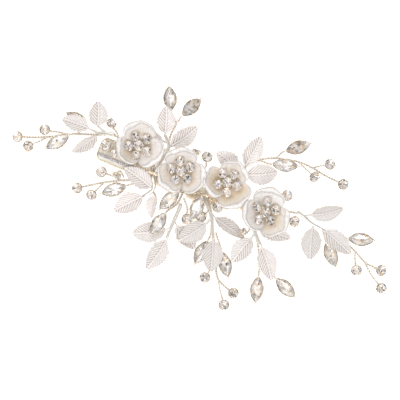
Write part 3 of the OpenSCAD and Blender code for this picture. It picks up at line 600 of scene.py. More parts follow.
def enamel_edge(tree, shader, color, edge_share):
    """Bare gilt metal where the enamel stops at an edge."""
    feed(shader, "Base Color", blend_colors(tree, edge_share, color, GOLD_EDGE))
    feed(shader, "Metallic", rescale(tree, edge_share, 0.0, 0.9))


def leaf_material():
    m, tree, shader = new_material("leaf_enamel", (0.95, 0.94, 0.93), roughness=0.3,
                                   Coat_Weight=0.35, Coat_Roughness=0.15)
    shade = ramp(tree, noise(tree, 1.8, 4), [(0.3, (0.85, 0.80, 0.79)), (0.65, (0.93, 0.89, 0.88))])
    # painted shade in the vein furrows and beside the midrib, darkening the enamel there
    deep = ramp(tree, mark(tree, "groove"), [(0.0, (1, 1, 1)), (0.4, (0.86, 0.82, 0.79)),
                                             (1.0, (0.52, 0.46, 0.41))])
    color = blend_colors(tree, 1.0, shade, deep, "MULTIPLY")
    color = blend_colors(tree, mark(tree, "dim"), color, (0.55, 0.53, 0.50))
    enamel_edge(tree, shader, color, mark(tree, "edge"))
    feed(shader, "Roughness", rescale(tree, noise(tree, 0.7, 3), 0.2, 0.42))
    bump(shader, noise(tree, 0.22, 3), 0.02, 0.35)
    return m


def petal_material():
    m, tree, shader = new_material("petal_enamel", (0.94, 0.9, 0.84), roughness=0.25,
                                   Coat_Weight=0.5, Coat_Roughness=0.1)
    # from the heart of the flower out to the crest (0.8), then over the lip: a thin tan line at the
    # crest, a painted highlight on the rim just past it, and painted shade as the lip turns down to
    # its edge
    reach = mark(tree, "reach")
    lip = [(0.79, (0.76, 0.71, 0.66)), (0.83, (0.98, 0.97, 0.965)), (0.93, (0.93, 0.91, 0.90)),
           (1.0, (0.66, 0.60, 0.54))]
    cool = ramp(tree, reach, [(0.0, (0.76, 0.62, 0.45)), (0.36, (0.87, 0.79, 0.68)),
                              (0.52, (0.93, 0.89, 0.86)), (0.72, (1.0, 0.98, 0.97))] + lip)
    warm = ramp(tree, reach, [(0.0, (0.70, 0.52, 0.33)), (0.4, (0.76, 0.60, 0.40)),
                              (0.58, (0.81, 0.68, 0.51)), (0.76, (0.90, 0.84, 0.76))] + lip)
    base = blend_colors(tree, mark(tree, "warm"), cool, warm)
    pearl = ramp(tree, noise(tree, 1.3, 5), [(0.3, (0.74, 0.68, 0.69)), (0.45, (0.95, 0.92, 0.92)),
                                             (0.56, (1, 1, 1)), (0.74, (0.86, 0.85, 0.90))])
    color = blend_colors(tree, 0.55, base, pearl, "MULTIPLY")
    # faint rays from the heart to the lip
    polar = node(tree, "ShaderNodeCombineXYZ")
    feed(polar, "X", mark(tree, "around"))
    feed(polar, "Y", reach)
    ray = node(tree, "ShaderNodeTexNoise", Scale=1.0, Detail=2.0)
    spread = node(tree, "ShaderNodeMapping", Scale=(16, 1.6, 1))
    feed(spread, "Vector", polar.outputs[0])
    feed(ray, "Vector", spread.outputs["Vector"])
    rays = ramp(tree, ray.outputs["Fac"], [(0.38, (0.84, 0.81, 0.79)), (0.55, (1, 1, 1))])
    color = blend_colors(tree, 0.3, color, rays, "MULTIPLY")
    enamel_edge(tree, shader, color, mark(tree, "edge"))
    feed(shader, "Roughness", rescale(tree, noise(tree, 0.9, 3), 0.14, 0.4))
    bump(shader, noise(tree, 0.5, 4), 0.06, 0.55)
    return m


def foil_material(name, metallic, sharp, hazy, size, painted_glint_stops):
    """Silvering behind the glass, with painted reflections: a lighter or darker painted shade for
    each facet, small cells of painted glint over it, and a faint painted glow.
    """
    m, tree, shader = new_material(name, (0.9, 0.9, 0.9), metallic=metallic)
    tone = node(tree, "ShaderNodeAttribute", attribute_name="tone")
    # painted glint: small cells, mostly white with a few grey and champagne ones
    painted_glints = ramp(tree, cells(tree, size), painted_glint_stops)
    color = blend_colors(tree, 1.0, tone.outputs["Color"], painted_glints, "MULTIPLY")
    feed(shader, "Base Color", color)
    # a faint painted glow in the foil's colour, standing in for light thrown back and forth inside
    # the glass
    feed(shader, "Emission Color", color)
    shader.inputs["Emission Strength"].default_value = 0.08
    feed(shader, "Roughness", rescale(tree, tone.outputs["Alpha"], sharp, hazy))
    return m


def crystal_materials():
    glass = new_material("crystal_glass", (1, 1, 1), roughness=0.0,
                         Transmission_Weight=1.0, IOR=1.5)[0]
    # stops for the painted glint cells: mostly white, with a few grey, champagne and warm ones
    white = (1.0, 0.985, 0.975)
    bright = [(0.1, (0.32, 0.31, 0.31)), (0.15, (0.85, 0.84, 0.84)), (0.25, white), (0.92, white),
              (0.97, (1.0, 0.88, 0.74))]
    pale = [(0.09, (0.5, 0.48, 0.47)), (0.18, (0.84, 0.84, 0.87)), (0.4, white), (0.64, white),
            (0.74, (1.0, 0.95, 0.88)), (0.92, (0.90, 0.84, 0.76)), (0.99, (1.0, 0.82, 0.62))]
    return [glass, foil_material("crystal_foil", 0.85, 0.1, 0.4, 0.7, bright),
            foil_material("crystal_pale_foil", 0.25, 0.1, 0.3, 1.1, pale)]


def steel_material():
    m, tree, shader = new_material("clip_steel", (0.97, 0.94, 0.88), metallic=1.0, roughness=0.3)
    grain = noise(tree, 1.2, 5, stretch=(0.05, 1, 1))
    feed(shader, "Base Color", ramp(tree, grain, [(0.3, (0.80, 0.74, 0.64)),
                                                  (0.7, (0.96, 0.92, 0.85))]))
    feed(shader, "Roughness", rescale(tree, grain, 0.24, 0.42))
    bump(shader, noise(tree, 0.3, 4, stretch=(0.04, 1, 1)), 0.03, 0.5)
    return m


leaf_enamel, petal_enamel, clip_steel = leaf_material(), petal_material(), steel_material()
stalk_metal = stalk_material()
crystal_parts = crystal_materials()


# ------------------------------------------------------------------ crystals
GIRDLE = 0.15                 # height of the rim that a crystal is held by


def cut_stone(outline, table, top, belly, deep, keel):
    """Points, glass faces and foiled faces of a cut crystal, from an even number of outline points.

    table, belly: the table's and the star points' share of the outline; top, deep: heights over and
    under the girdle's foot; keel: the culet's share along x and y, and the pavilion points' share.
    """
    n = len(outline)
    corner, between = outline[0::2], outline[1::2]
    h = len(corner)

    def ring(xy, share, z):
        return np.column_stack([xy * share, np.full(len(xy), z)])

    crown_z = GIRDLE + (top - GIRDLE) * (1 - belly) / (1 - table) * 1.12
    points = np.concatenate([
        ring(corner, table, top),                                  # 0: table corners
        ring(between, belly, crown_z),                             # h: star points
        ring(outline, 1, GIRDLE),                                  # 2h: girdle top
        ring(outline, 1, 0),                                       # 2h+n: girdle foot
        ring(between, keel[2], -deep * (1 - keel[2]) * 0.95),      # 2h+2n: pavilion points
        np.column_stack([corner[:, 0] * keel[0], corner[:, 1] * keel[1],
                         np.full(h, -deep)])])                     # 3h+2n: culet
    T, S, G, F, P, C = 0, h, 2 * h, 2 * h + n, 2 * h + 2 * n, 3 * h + 2 * n
    k = np.arange(h)
    nxt, prv = (k + 1) % h, (k - 1) % h
    star = np.column_stack([T + k, S + k, T + nxt])
    kite = np.column_stack([T + k, S + prv, G + 2 * k, S + k])
    upper = np.concatenate([np.column_stack([S + k, G + 2 * k, G + 2 * k + 1]),
                            np.column_stack([S + k, G + 2 * k + 1, G + 2 * nxt])])
    j = np.arange(n)
    girdle = np.column_stack([G + j, F + j, F + (j + 1) % n, G + (j + 1) % n])
    lower = np.concatenate([np.column_stack([F + 2 * k, P + k, F + 2 * k + 1]),
                            np.column_stack([F + 2 * k + 1, P + k, F + 2 * nxt])])
    main = np.column_stack([F + 2 * k, P + prv, C + k, P + k])
    close = np.column_stack([P + k, C + k, C + nxt])
    clear = [(T + k[::-1])[None, :], star, kite, upper, girdle]
    foiled = [lower, main, close, (C + k)[None, :]]
    return points, clear, foiled


def circle(radius, n):
    a = full_turn(n)
    return np.column_stack([radius * np.cos(a), radius * np.sin(a)])


def lens(length, width, n):
    """A pointed oval; its two points are at even places."""
    half = n // 2
    t = -np.cos(np.linspace(0, math.pi, half, endpoint=False))
    bottom = np.column_stack([t * length / 2, -width / 2 * (1 - t * t)])
    return np.concatenate([bottom, -bottom])


ROUND_R = 2.0
ROUND_CUT = cut_stone(circle(ROUND_R, 16), 0.56, 0.75, 0.79, 1.35, (0.04, 0.04, 0.3))
NAVETTE_CUT = cut_stone(lens(10.9, 5.0, 20), 0.58, 0.45, 0.8, 0.6, (0.5, 0.1, 0.5))


def foil_tones(count, dark, champagne, bright, sharp):
    """A silvered tone for each facet behind the glass, painted lighter or darker for the
    reflections it stands in for, a few with painted coloured fire; the fourth number is its haze.

    dark sets the share of facets with painted dark reflections; champagne and sharp are shares of
    the facets, bright scales them all.
    """
    level = np.where(rng.random(count) < 0.4, rng.uniform(0.70, 0.88, count),
                     rng.uniform(0.92, 1.0, count))
    level = np.where(rng.random(count) < dark * 0.4, rng.uniform(0.12, 0.45, count), level)
    tint = np.ones((count, 3)) * (1, 0.965, 0.95)
    tint[rng.random(count) < champagne] = (1.0, 0.91, 0.80)
    # painted orange and blue fire on a few facets
    painted_fire = rng.random(count)
    tint[painted_fire < 0.03] = (1.0, 0.74, 0.46)
    tint[(painted_fire >= 0.03) & (painted_fire < 0.05)] = (0.70, 0.82, 1.0)
    haze = np.where(rng.random(count) < sharp, 0.0, rng.uniform(0.5, 1.0, count))
    rim = count // 2 - 1          # the first facets lie along the rim
    level[:rim] = rng.uniform(0.72, 0.97, rim)
    haze[:rim] = np.maximum(haze[:rim], 0.7)
    tint[-1], level[-1] = (0.96, 0.95, 0.97), 0.9             # the flat behind the table
    return np.column_stack([tint * level[:, None] * bright, haze])


def add_stone(shape, cut, place, dark, champagne=0.12, bright=1.0, sharp=0.5, backing=1):
    """backing is the material of the foil: 1 bright, 2 pale. The rest is as in foil_tones."""
    points, clear, foiled = cut
    seen = sum(len(f) for f in clear)
    behind = sum(len(f) for f in foiled)
    tones = np.concatenate([np.ones((seen, 4)), foil_tones(behind, dark, champagne, bright, sharp)])
    shape.add(place(points), outward(points, clear + foiled), smooth=False, tones=tones,
              material=np.repeat([0, backing], [seen, behind]))


# ------------------------------------------------------------------ settings
def parts_of(solids):
    """One (points, faces) from several solids."""
    points, faces, count = [], [], 0
    for p, fs in solids:
        points.append(p)
        faces += [f + count for f in fs]
        count += len(p)
    return np.concatenate(points), faces


def claw(path, radius):
    line = catmull(path, 0.18)
    share = np.linspace(0, 1, len(line))
    return sweep(line, radius * (1.12 - 0.3 * share), 8, flat=0.8)


def round_setting():
    r = ROUND_R

    def gallery(turn, radius, z):
        # the rim dips between the claws and the wall is fluted below it
        dip = 0.5 + 0.5 * np.cos(4 * turn)
        high = np.clip((z + 0.7) / 0.55, 0, 1)
        flute = 0.05 * np.cos(16 * turn) * np.clip((-0.3 - z) / 0.4, 0, 1) * (radius > 1.2)
        return radius + flute, z - 0.28 * dip * high

    cup = lathe([(0.001, -1.7), (r - 0.75, -1.7), (r - 0.45, -1.62), (r - 0.3, -1.4),
                 (r - 0.05, -0.9), (r + 0.22, -0.35), (r + 0.34, -0.14), (r + 0.3, -0.02),
                 (r + 0.2, 0.02), (r + 0.1, -0.04), (r + 0.05, -0.3), (r - 0.25, -0.85),
                 (r - 0.6, -1.36), (0.001, -1.42)], 48, gallery)
    bead = lathe([(r - 0.42 + 0.13 * math.cos(a), -1.5 + 0.13 * math.sin(a))
                  for a in full_turn(8)], 40)
    solids = [cup, bead]
    for k in range(4):
        place = matrix(ORIGIN, ("z", 45 + 90 * k))
        p, f = claw([(r - 0.2, 0, -1.35), (r + 0.2, 0, -0.7), (r + 0.44, 0, -0.05),
                     (r + 0.36, 0, 0.34), (r + 0.08, 0, 0.52), (r - 0.2, 0, 0.5)], 0.27)
        solids.append((place(p), f))
    return parts_of(solids)


def navette_setting():
    def ring(length, width, z, wave=0.0):
        xy = lens(length, width, 72)
        x = xy[:, 0] / (length / 2)
        lift = wave * (np.cos(3.1 * math.pi * x) * 0.5 - 0.5) * (np.abs(x) < 0.95)
        return np.column_stack([xy, np.full(len(xy), z) + lift])

    wall = loft([ring(9.4, 3.9, -1.5), ring(10.6, 4.7, -1.5), ring(11.1, 5.1, -1.36),
                 ring(11.45, 5.5, -0.8), ring(11.7, 5.75, -0.3), ring(11.75, 5.8, -0.06, 0.3),
                 ring(11.6, 5.65, 0.03, 0.3), ring(11.3, 5.4, 0.0, 0.3), ring(11.1, 5.2, -0.25),
                 ring(10.4, 4.5, -0.9), ring(9.4, 3.8, -1.28), ring(2, 0.6, -1.3)])
    solids = [wall]
    for s in (-1, 1):
        tip = catmull([(s * 5.5, 0, -1.3), (s * 5.85, 0, -0.5), (s * 5.86, 0, 0.1),
                       (s * 5.55, 0, 0.42), (s * 5.0, 0, 0.42)], 0.2)
        along = np.linspace(0, 1, len(tip))
        solids.append(sweep(tip, np.interp(along, [0, 0.6, 1], [0.3, 0.44, 0.3]), 8))
        for side in (-1, 1):
            solids.append(claw([(s * 1.9, side * 2.2, -1.3), (s * 1.9, side * 2.62, -0.6),
                                (s * 1.9, side * 2.72, 0), (s * 1.9, side * 2.52, 0.36),
                                (s * 1.9, side * 2.1, 0.48)], 0.23))
    return parts_of(solids)


ROUND_SETTING, NAVETTE_SETTING = round_setting(), navette_setting()


# ------------------------------------------------------------------ pieces
def finish_piece(shape, name, materials, node_name=None):
    made = shape.make(name, materials)
    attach(made, "spray")
    if node_name:
        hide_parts(node_name)


ROUND_FOOT, NAVETTE_FOOT = 1.7, 1.5       # depth of each cup below its rim
EDGE_ON = 60                  # a stone tilted further than this hangs straight on its wire


def add_all(shape, solids):
    for p, f in solids:
        shape.add(p, f)


def round_wire(s):
    """The wire lies along the back of the cup before it follows its route."""
    a, b = math.radians(s.tilt), math.radians(s.heading)
    n = vec(math.sin(a) * math.cos(b), math.sin(a) * math.sin(b), math.cos(a))
    back = s.place - n * (ROUND_FOOT * s.size + s.wire + GAP)
    side = array(s.path[0]) - s.place
    flat = side - n * (side @ n)
    if s.tilt > EDGE_ON:
        return [back, *s.path]
    return [back, back + unit(flat) * min(2.7, np.linalg.norm(flat) / 2), *s.path]


def navette_wire(s):
    turn = matrix(ORIGIN, ("z", s.heading), ("y", -s.tilt))
    along, up = turn(vec(1, 0, 0))[0], turn(vec(0, 0, 1))[0]
    back = s.place - up * (NAVETTE_FOOT + s.wire + GAP)
    return [back - along * 3.85, back - along * 6.65, *s.path]


WIRE_SWELL = 1.35             # twisted strands bulge past the plain round of the CAD wires


def make_branch(k, branch):
    rounds, navettes = branch
    wires, settings, stones = Shape(), Shape(), Shape()
    for route, row in ((round_wire, rounds), (navette_wire, navettes)):
        for s in row:
            add_all(wires, twisted(route(s), s.wire * WIRE_SWELL))
    for s in rounds:
        settings.add(at_round(s)(ROUND_SETTING[0]), ROUND_SETTING[1])
        turn = rng.uniform(0, 45)
        place = at_round(s)
        add_stone(stones, ROUND_CUT, lambda p: place(matrix(ORIGIN, ("z", turn))(p)), 0.45, 0.15)
    for s in navettes:
        settings.add(at_navette(s)(NAVETTE_SETTING[0]), NAVETTE_SETTING[1])
        add_stone(stones, NAVETTE_CUT, at_navette(s), 0.12, 0.3, 0.92, 0.4, backing=2)
    name = f"branch_{k}"
    finish_piece(wires, name + "_twisted_wires", [wire_gold], name + "_wires")
    finish_piece(settings, name + "_claw_settings", [setting_gold], name + "_settings")
    finish_piece(stones, name + "_crystals", crystal_parts, name + "_stones")


# ------------------------------------------------------------------ leaves
LEAF_THICK, LEAF_CUP = 0.55, 0.9
EDGE_RIM = 0.14               # bare metal past the enamel
EDGE_DROP = 0.16              # from a leaf's enamel down to that metal
VEIN_PITCH = 1.4
LEAF_DIM = [0.15, 0, 0, 0.32, 0, 0.1, 0.32, 0.1]      # greyness of each sprig's enamel


def leaf(base, tip, width, roll, bow, dim):
    """Points, faces and marks of one veined, serrated leaf."""
    base, tip = array(base), array(tip)
    length = np.linalg.norm(tip - base)
    along = (tip - base) / length
    flat = unit(np.cross(vec(0, 0, 1), along))
    up0 = np.cross(along, flat)
    c, s = math.cos(math.radians(roll)), math.sin(math.radians(roll))
    side = c * flat + s * up0
    up = np.cross(along, side)
    rows, cols = 116, 41
    t = np.linspace(0, 1, rows)[:, None]
    shape = np.sin(math.pi * np.clip(t, 1e-4, 1 - 1e-4) ** 0.85) ** 0.7
    lean = rng.choice([-1, 1])    # the half whose veins are pressed less deeply
    sway = lean * rng.uniform(0.15, 0.5)
    half = np.maximum(width / 2 * shape, 0.12 + 0.23 * (1 - t))

    def phase(w):
        # side veins leave the midrib and bend toward the tip
        return (t * length - 0.9 * w - 0.08 * w * w) / VEIN_PITCH

    def cup(u):
        return LEAF_CUP * np.abs(u) ** 1.5 * 2 * half / width

    tooth = 0.5 + 0.5 * np.cos(2 * math.pi * (phase(half) + 0.1))
    grown = half + (0.62 * tooth ** 0.8 - 0.24) * np.clip(shape * 2 - 0.6, 0, 1)

    def surface(u):
        """Height, and the strength of painted shade in the vein furrows, for u from -1 to 1 across
        the leaf.
        """
        w = np.abs(u) * grown
        rib = 0.5 + 0.5 * np.cos(2 * math.pi * phase(w))
        inner = (np.clip((w - 0.3) / 0.22, 0, 1) * np.clip((1 - t) / 0.06, 0, 1)
                 * np.clip(t / 0.04, 0, 1))
        relief = 0.3 * (rib ** 0.6 - 0.75) * inner
        mid = (0.32 * np.exp(-(w / 0.32) ** 2) * (1 - 0.5 * t)
               - 0.12 * np.exp(-((w - 0.56) / 0.16) ** 2))
        bead = 0.09 * np.exp(-((1 - np.abs(u)) / 0.07) ** 2)
        depth = np.where(u * lean > 0, 0.6, 1.0)
        # painted shade between the side ribs and beside the midrib, weaker on the half pressed less
        # deeply
        groove = np.clip(1 - rib * 2.4, 0, 1) * inner + 0.8 * np.exp(-((w - 0.5) / 0.13) ** 2)
        return cup(u) + relief * depth + mid + bead, groove * depth

    def metal_edge(hand):
        rise = surface(np.full((1, 1), hand))[0] - EDGE_DROP
        return centre + side * (hand * (grown + EDGE_RIM))[:, :, None] + up * rise[:, :, None]

    arch = (4 * bow * t * (1 - t))[:, :, None]
    centre = (base[None] + (tip - base)[None] * t)[:, None, :] + up * arch
    centre = centre + side * (sway * np.sin(math.pi * t))[:, :, None]
    u_top = np.linspace(-1, 1, cols)[None, :]
    u_low = np.linspace(1, -1, 9)[None, :]
    h_top, groove = surface(u_top)
    top = centre + side * (u_top * grown)[:, :, None] + up * h_top[:, :, None]
    thick = LEAF_THICK - 0.2 * np.abs(u_low)
    low = centre + side * (u_low * grown * 0.97)[:, :, None] + up * (cup(u_low) - thick)[:, :, None]
    rings = np.concatenate([top, metal_edge(1.0), low, metal_edge(-1.0)], axis=1)
    n = rings.shape[1]
    groove_shades = np.zeros((rows, n))
    groove_shades[:, :cols] = groove
    edges = np.zeros((rows, n))
    edges[:, 0] = edges[:, cols - 1] = 0.55
    edges[:, cols] = edges[:, -1] = 1
    edges[:, cols + 1] = edges[:, n - 2] = 0.8
    points, faces = loft(rings)
    return points, faces, {"groove": groove_shades.ravel(), "edge": edges.ravel(), "dim": dim}


def stalk(points, start, end):
    """A tapering cast stalk with a flattened section, marked for painted shade along the middle of
    its top.
    """
    line = catmull(points, 0.5)
    share = np.linspace(0, 1, len(line))
    points, faces = sweep(line, start + (end - start) * share, 12, flat=0.7, up=(0, 0, 1))
    # painted shade on the three faces along the middle of the top
    hollow_shade = np.zeros(12)
    hollow_shade[2:5] = 0.3, 1, 0.3
    return points, faces, {"groove": np.tile(hollow_shade, len(points) // 12)}


def make_sprig(k, sprig):
    main, leaves = sprig
    blades, stalks = Shape(), Shape()
    stalks.add(*stalk(main, 0.9, 0.72))
    for joint, base, tip, width, roll, bow in leaves:
        p, f, marks = leaf(base, tip, width, roll, bow, LEAF_DIM[k - 1])
        blades.add(p, f, marks)
        foot = array(base) - vec(0, 0, LEAF_THICK / 2)
        into = mix(base, tip, 0.16) - vec(0, 0, LEAF_THICK * 0.6)
        stalks.add(*stalk([joint, mix(joint, foot, 0.6), foot, into], 0.66, 0.36))
    name = f"leaf_sprig_{k}"
    finish_piece(blades, name + "_blades", [leaf_enamel], name)
    finish_piece(stalks, name + "_stalks", [stalk_metal])


# ------------------------------------------------------------------ flowers
PETAL_LENGTH, PETAL_RISE, PETAL_THICK, POST_R = 9.6, 3.6, 0.5, 0.7
PETAL_SPAN = 66               # half the angle of a petal, so that neighbours lap
# share of the plain length at angles from the petal's own axis: a small point, then two shoulders
PETAL_ANGLES = [0, 9, 20, 32, 41, 48, 55, 60, 66]
PETAL_SHARES = [1.1, 1.05, 1.02, 1.01, 0.98, 0.92, 0.81, 0.72, 0.6]
# each petal's share of the plain length, how far its enamel goes to tan, its lift in degrees,
# how much longer it is on its left than on its right, and where its broad fold stands
PETALS = [[(1.04, 0.25, 4, 0.05, 30), (0.98, 0.75, 8, -0.02, -25), (1.03, 0.15, -3, 0.1, -10)],
          [(1.02, 0.2, 5, 0.0, 10), (1.0, 0.55, 0, 0.04, 15), (1.05, 0.5, -3, 0.03, 25)],
          [(0.96, 0.5, 6, -0.05, -30), (1.0, 0.9, 3, 0.0, 40), (1.1, 1.0, -6, 0.0, -5)],
          [(1.03, 0.0, 1, 0.03, 5), (1.04, 0.1, 6, 0.02, -15), (1.07, 0.7, -3, 0.02, 30)]]


def petal(length, warm, skew, fold):
    """One cupped petal with two shoulders, a turned lip and a small point, along +X."""
    rows, cols = 85, 36
    a = np.linspace(-PETAL_SPAN, PETAL_SPAN, rows)[:, None]
    reach = length * np.mean([np.interp(np.abs(a + d), PETAL_ANGLES, PETAL_SHARES)
                              for d in (-4, -2, 0, 2, 4)], axis=0)
    phase = rng.uniform(0, 6)
    reach = reach * (1 + skew * a / PETAL_SPAN + 0.012 * np.sin(a / 7.5 + phase))
    # a narrow lip all round, broad where the petal folds over
    lip = 0.4 + 0.35 * np.exp(-(a / 42) ** 4) + 1.5 * np.exp(-((a - fold) / 22) ** 2)
    crest = reach - lip
    wave = 0.35 * np.sin(a / 11 + phase) * np.exp(-(a / 50) ** 4)

    def height(r):
        """The bowl climbs to its crest, then the lip turns outward and down."""
        bowl = PETAL_RISE * (np.clip(r - 2.8, 0, None) / (0.92 * length - 2.8)) ** 1.8
        past = np.clip((r - crest) / lip, 0, 1)
        roll = 0.2 * np.sin(np.clip(past * 1.8, 0, 1) * math.pi) - (0.5 + 0.4 * lip) * past ** 2
        crease = 0.5 * (np.abs(a) / PETAL_SPAN) ** 4 * np.clip(r / 7, 0, 1)
        return bowl + roll + crease + wave * np.clip(r / length, 0, 1) ** 3

    inner = (POST_R + 0.1) + (crest - POST_R - 0.1) * np.linspace(0, 1, cols - 12)[None, :]
    r = np.concatenate([inner, crest + lip * np.linspace(0, 1, 13)[None, 1:]], axis=1)
    low_f = np.linspace(1, 0, 12)[None, :]
    low_r = POST_R + 0.1 + (reach - POST_R - 0.1) * low_f
    angle = np.radians(a)

    def place(r, z):
        r, z = np.broadcast_arrays(r + 0 * a, z)
        return np.stack([r * np.cos(angle), r * np.sin(angle), z], -1)

    top = place(r, height(r))
    rim = place(reach + EDGE_RIM, height(reach) - PETAL_THICK * 0.45)
    low = place(low_r, height(low_r) - PETAL_THICK * (1 - 0.25 * low_f))
    rings = np.concatenate([top, rim, low], axis=1)
    n, m = rings.shape[1], top.shape[1]
    share = np.full((rows, n), 0.9)
    share[:, :m] = np.where(r < crest, 0.8 * r / crest, 0.8 + 0.2 * (r - crest) / lip)
    share[:, m] = 1
    edge = np.zeros((rows, n))
    edge[:, m], edge[:, m + 1] = 1, 0.6
    edge[[0, -1], 3:] = 0.8
    points, faces = loft(rings)
    around = np.broadcast_to(a / PETAL_SPAN, (rows, n))
    return points, faces, {"reach": share.ravel(), "edge": edge.ravel(), "warm": warm,
                           "around": around.ravel()}


RING_R, STONE_LIFT, FLOWER_STONE = 4.2, 2.4, 0.8
CROWN_SIZE = 0.98             # the crystals' rims stand over the rims of their cups


def make_flower(k, flower):
    place = at_flower(flower)
    petals, settings, stones = Shape(), Shape(), Shape()
    for i, (share, warm, lift, skew, fold) in enumerate(PETALS[k - 1]):
        # each petal laps a little over the next
        points, faces, marks = petal(PETAL_LENGTH * share, warm, skew, fold)
        turn = matrix(ORIGIN, ("z", flower.petal + 120 * i), ("y", -lift), ("x", 3.5))
        petals.add(place(turn(points)), faces, marks)
    spots = [(0, 0)] + [(RING_R, flower.stone + 72 * i) for i in range(5)]
    for radius, heading in spots:
        a = math.radians(heading)
        foot = (radius * math.cos(a), radius * math.sin(a), STONE_LIFT)
        local = matrix(foot, ("z", heading), size=FLOWER_STONE)
        settings.add(place(local(ROUND_SETTING[0])), ROUND_SETTING[1])
        facing = matrix(foot + vec(0, 0, 0.14), ("z", heading + rng.uniform(0, 45)),
                        size=CROWN_SIZE)
        add_stone(stones, ROUND_CUT, lambda p: place(facing(p)), 0.3)
        if radius:
            # a strut from the middle of the cluster
            p, f = sweep(catmull([(1, 0, 0.9), (radius - 0.5, 0, 0.9)], 0.5), 0.34, 8)
            settings.add(place(matrix(ORIGIN, ("z", heading))(p)), f)
    disc = lathe([(0.001, 0.65), (1.9, 0.65), (2.2, 0.7), (2.35, 0.85), (2.2, 1.0), (2.0, 1.1),
                  (1.8, 1.02), (0.001, 1.04)], 48)
    settings.add(place(disc[0]), disc[1])
    post = lathe([(0.001, -1.2), (0.5, -1.2), (0.63, -1.05), (0.63, 0.8), (0.001, 0.8)], 24)
    settings.add(place(post[0]), post[1])
    name = f"flower_{k}"
    finish_piece(petals, name + "_enamel", [petal_enamel], name + "_petals")
    finish_piece(settings, name + "_cluster", [setting_gold], name + "_settings")
    finish_piece(stones, name + "_crystals", crystal_parts, name + "_stones")


# ------------------------------------------------------------------ spine, stems, binding
def make_spine():
    shape = Shape()
    add_all(shape, twisted(SPINE, SPINE_RADIUS, pitch=9, strands=5, sides=8, step=0.4))
    core = catmull(SPINE, 1.0)
    shape.add(*sweep(core, 0.5, 8))
    finish_piece(shape, "spine_bundle", [bind_gold], "spine_wire")
    tail = [[x, -1.1 if x < -18 else -0.4, arm_under(x) + ARM_THICK + TAIL_RADIUS + 6 * GAP]
            for x in (-29, -24, -19, -14 - TAIL_RADIUS)]
    shape = Shape()
    add_all(shape, twisted(tail, TAIL_RADIUS, pitch=3.6, strands=4, sides=8))
    shape.add(*sweep(catmull(tail, 1.0), 0.4, 8))
    finish_piece(shape, "spine_tail", [tail_silver])


def make_tab_rim():
    """The rolled edge of the upper finger tab."""
    left, right = TAB_OFFSET + TAB_WIDTH / 2, TAB_OFFSET - TAB_WIDTH / 2
    corner = 2.4
    plan = [(-13.5, 3.4), (-18, left)]
    for y, first in ((left - corner, 90), (right + corner, 180)):
        for a in (0, 30, 60, 90):
            turn = math.radians(first + a)
            plan.append((-30 + corner + corner * math.cos(turn), y + corner * math.sin(turn)))
    plan += [(-18, right), (-13.5, -3.05)]
    path = [(x, y, arm_under(x) + ARM_THICK * 0.7) for x, y in plan]
    shape = Shape()
    shape.add(*sweep(catmull(path, 0.4), 0.36, 10))
    finish_piece(shape, "tab_rolled_edge", [rim_gold])


def make_stems():
    def below(f):
        return f.middle - vec(0, 0, 1.2 + 5 * GAP + 0.2)

    drops = [((0, 2.5, 0.7), tie(-11, 1)), ((0, 1, 1.6), tie(5.4, 1)), ((1, 3, 1.8), tie(17.6, 1))]
    shape = Shape()
    for flower, (drop, end) in zip(FLOWERS, drops):
        add_all(shape, twisted([below(flower), below(flower) - vec(*drop), end], 0.5))
    spine_end = SPINE[-1][2] + SPINE_RADIUS + 0.12
    add_all(shape, twisted([below(FLOWERS[3]), vec(43, 3.2, spine_end)], 0.5))
    finish_piece(shape, "flower_stem_wires", [wire_gold], "flower_stems")


WIND_PITCH, UNEVEN = 0.56, 0.05           # of the binding wire's turns


def make_binding():
    """Three runs of fine wire wound round the arm and the spine."""
    shape = Shape()
    r = 0.22
    for start, turns in ((-3.4, 10), (10.4, 9), (19.8, 5)):
        path = []
        for i in range(turns):
            x = start + WIND_PITCH * i
            lo = arm_under(x) - r - GAP
            hi = arm_under(x) + ARM_THICK + r + GAP
            top = spine_z(x) + SPINE_RADIUS + r + GAP
            w = JAW_WIDTH / 2 + r + GAP
            loop = [(w, lo), (w, hi), (1.6, top - 0.35), (0.8, top), (-0.8, top),
                    (-1.6, top - 0.35), (-w, hi), (-w, lo)]
            for j, (y, z) in enumerate(loop):
                upper = 1 < j < 6
                sway = rng.normal(0, UNEVEN) if upper else 0
                path.append((x + WIND_PITCH * j / len(loop) + sway, y,
                             z + abs(rng.normal(0, UNEVEN)) * upper))
        shape.add(*sweep(catmull(path, 0.35), r, 8))
    finish_piece(shape, "binding_winding", [bind_gold], "binding_wire")


def make_spring():
    coil, wire, turns, lean = 0.9 + 0.74, 0.27, 3, 17
    start = 90 - lean
    leg = vec(-math.cos(math.radians(lean)), 0, math.sin(math.radians(lean)))
    share = np.linspace(0, 1, 220)
    a = np.radians(start - share * (360 * turns + 180))
    helix = np.column_stack([PIN[0] + coil * np.cos(a), -0.95 + 1.9 * share,
                             PIN[1] + coil * np.sin(a)])
    path = np.concatenate([[helix[0] + d * leg for d in (8.8, 6, 4, 2, 1, 0.5)], helix[1:-1],
                           [helix[-1] + d * leg for d in (0.5, 1, 2, 4, 6, 7.4)]])
    shape = Shape()
    shape.add(*sweep(path, wire, 12))
    finish_piece(shape, "coil_spring", [clip_steel], "torsion_spring")


for k, flower in enumerate(FLOWERS, 1):
    make_flower(k, flower)
for k, sprig in enumerate(SPRIGS, 1):
    make_sprig(k, sprig)
for k, branch in enumerate(BRANCHES, 1):
    make_branch(k, branch)
make_spine()
make_tab_rim()
make_stems()
make_binding()
make_spring()

for name in ("upper_arm", "lower_arm", "hinge_pin"):
    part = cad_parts[name]
    part.data.materials.clear()
    part.data.materials.append(clip_steel)
    soften = part.modifiers.new("soft_edges", "BEVEL")
    soften.width, soften.segments, soften.limit_method = 0.12 * MM, 2, "ANGLE"
    soften.angle_limit = math.radians(40)


# ------------------------------------------------------------------ stage, light, camera
MIDDLE_X, MIDDLE_Y, STAGE_Z = MIDDLE[0] * MM, MIDDLE[1] * MM, 0.008
PIXELS_PER_MM, PICTURE = 2.4, 400         # of the photograph


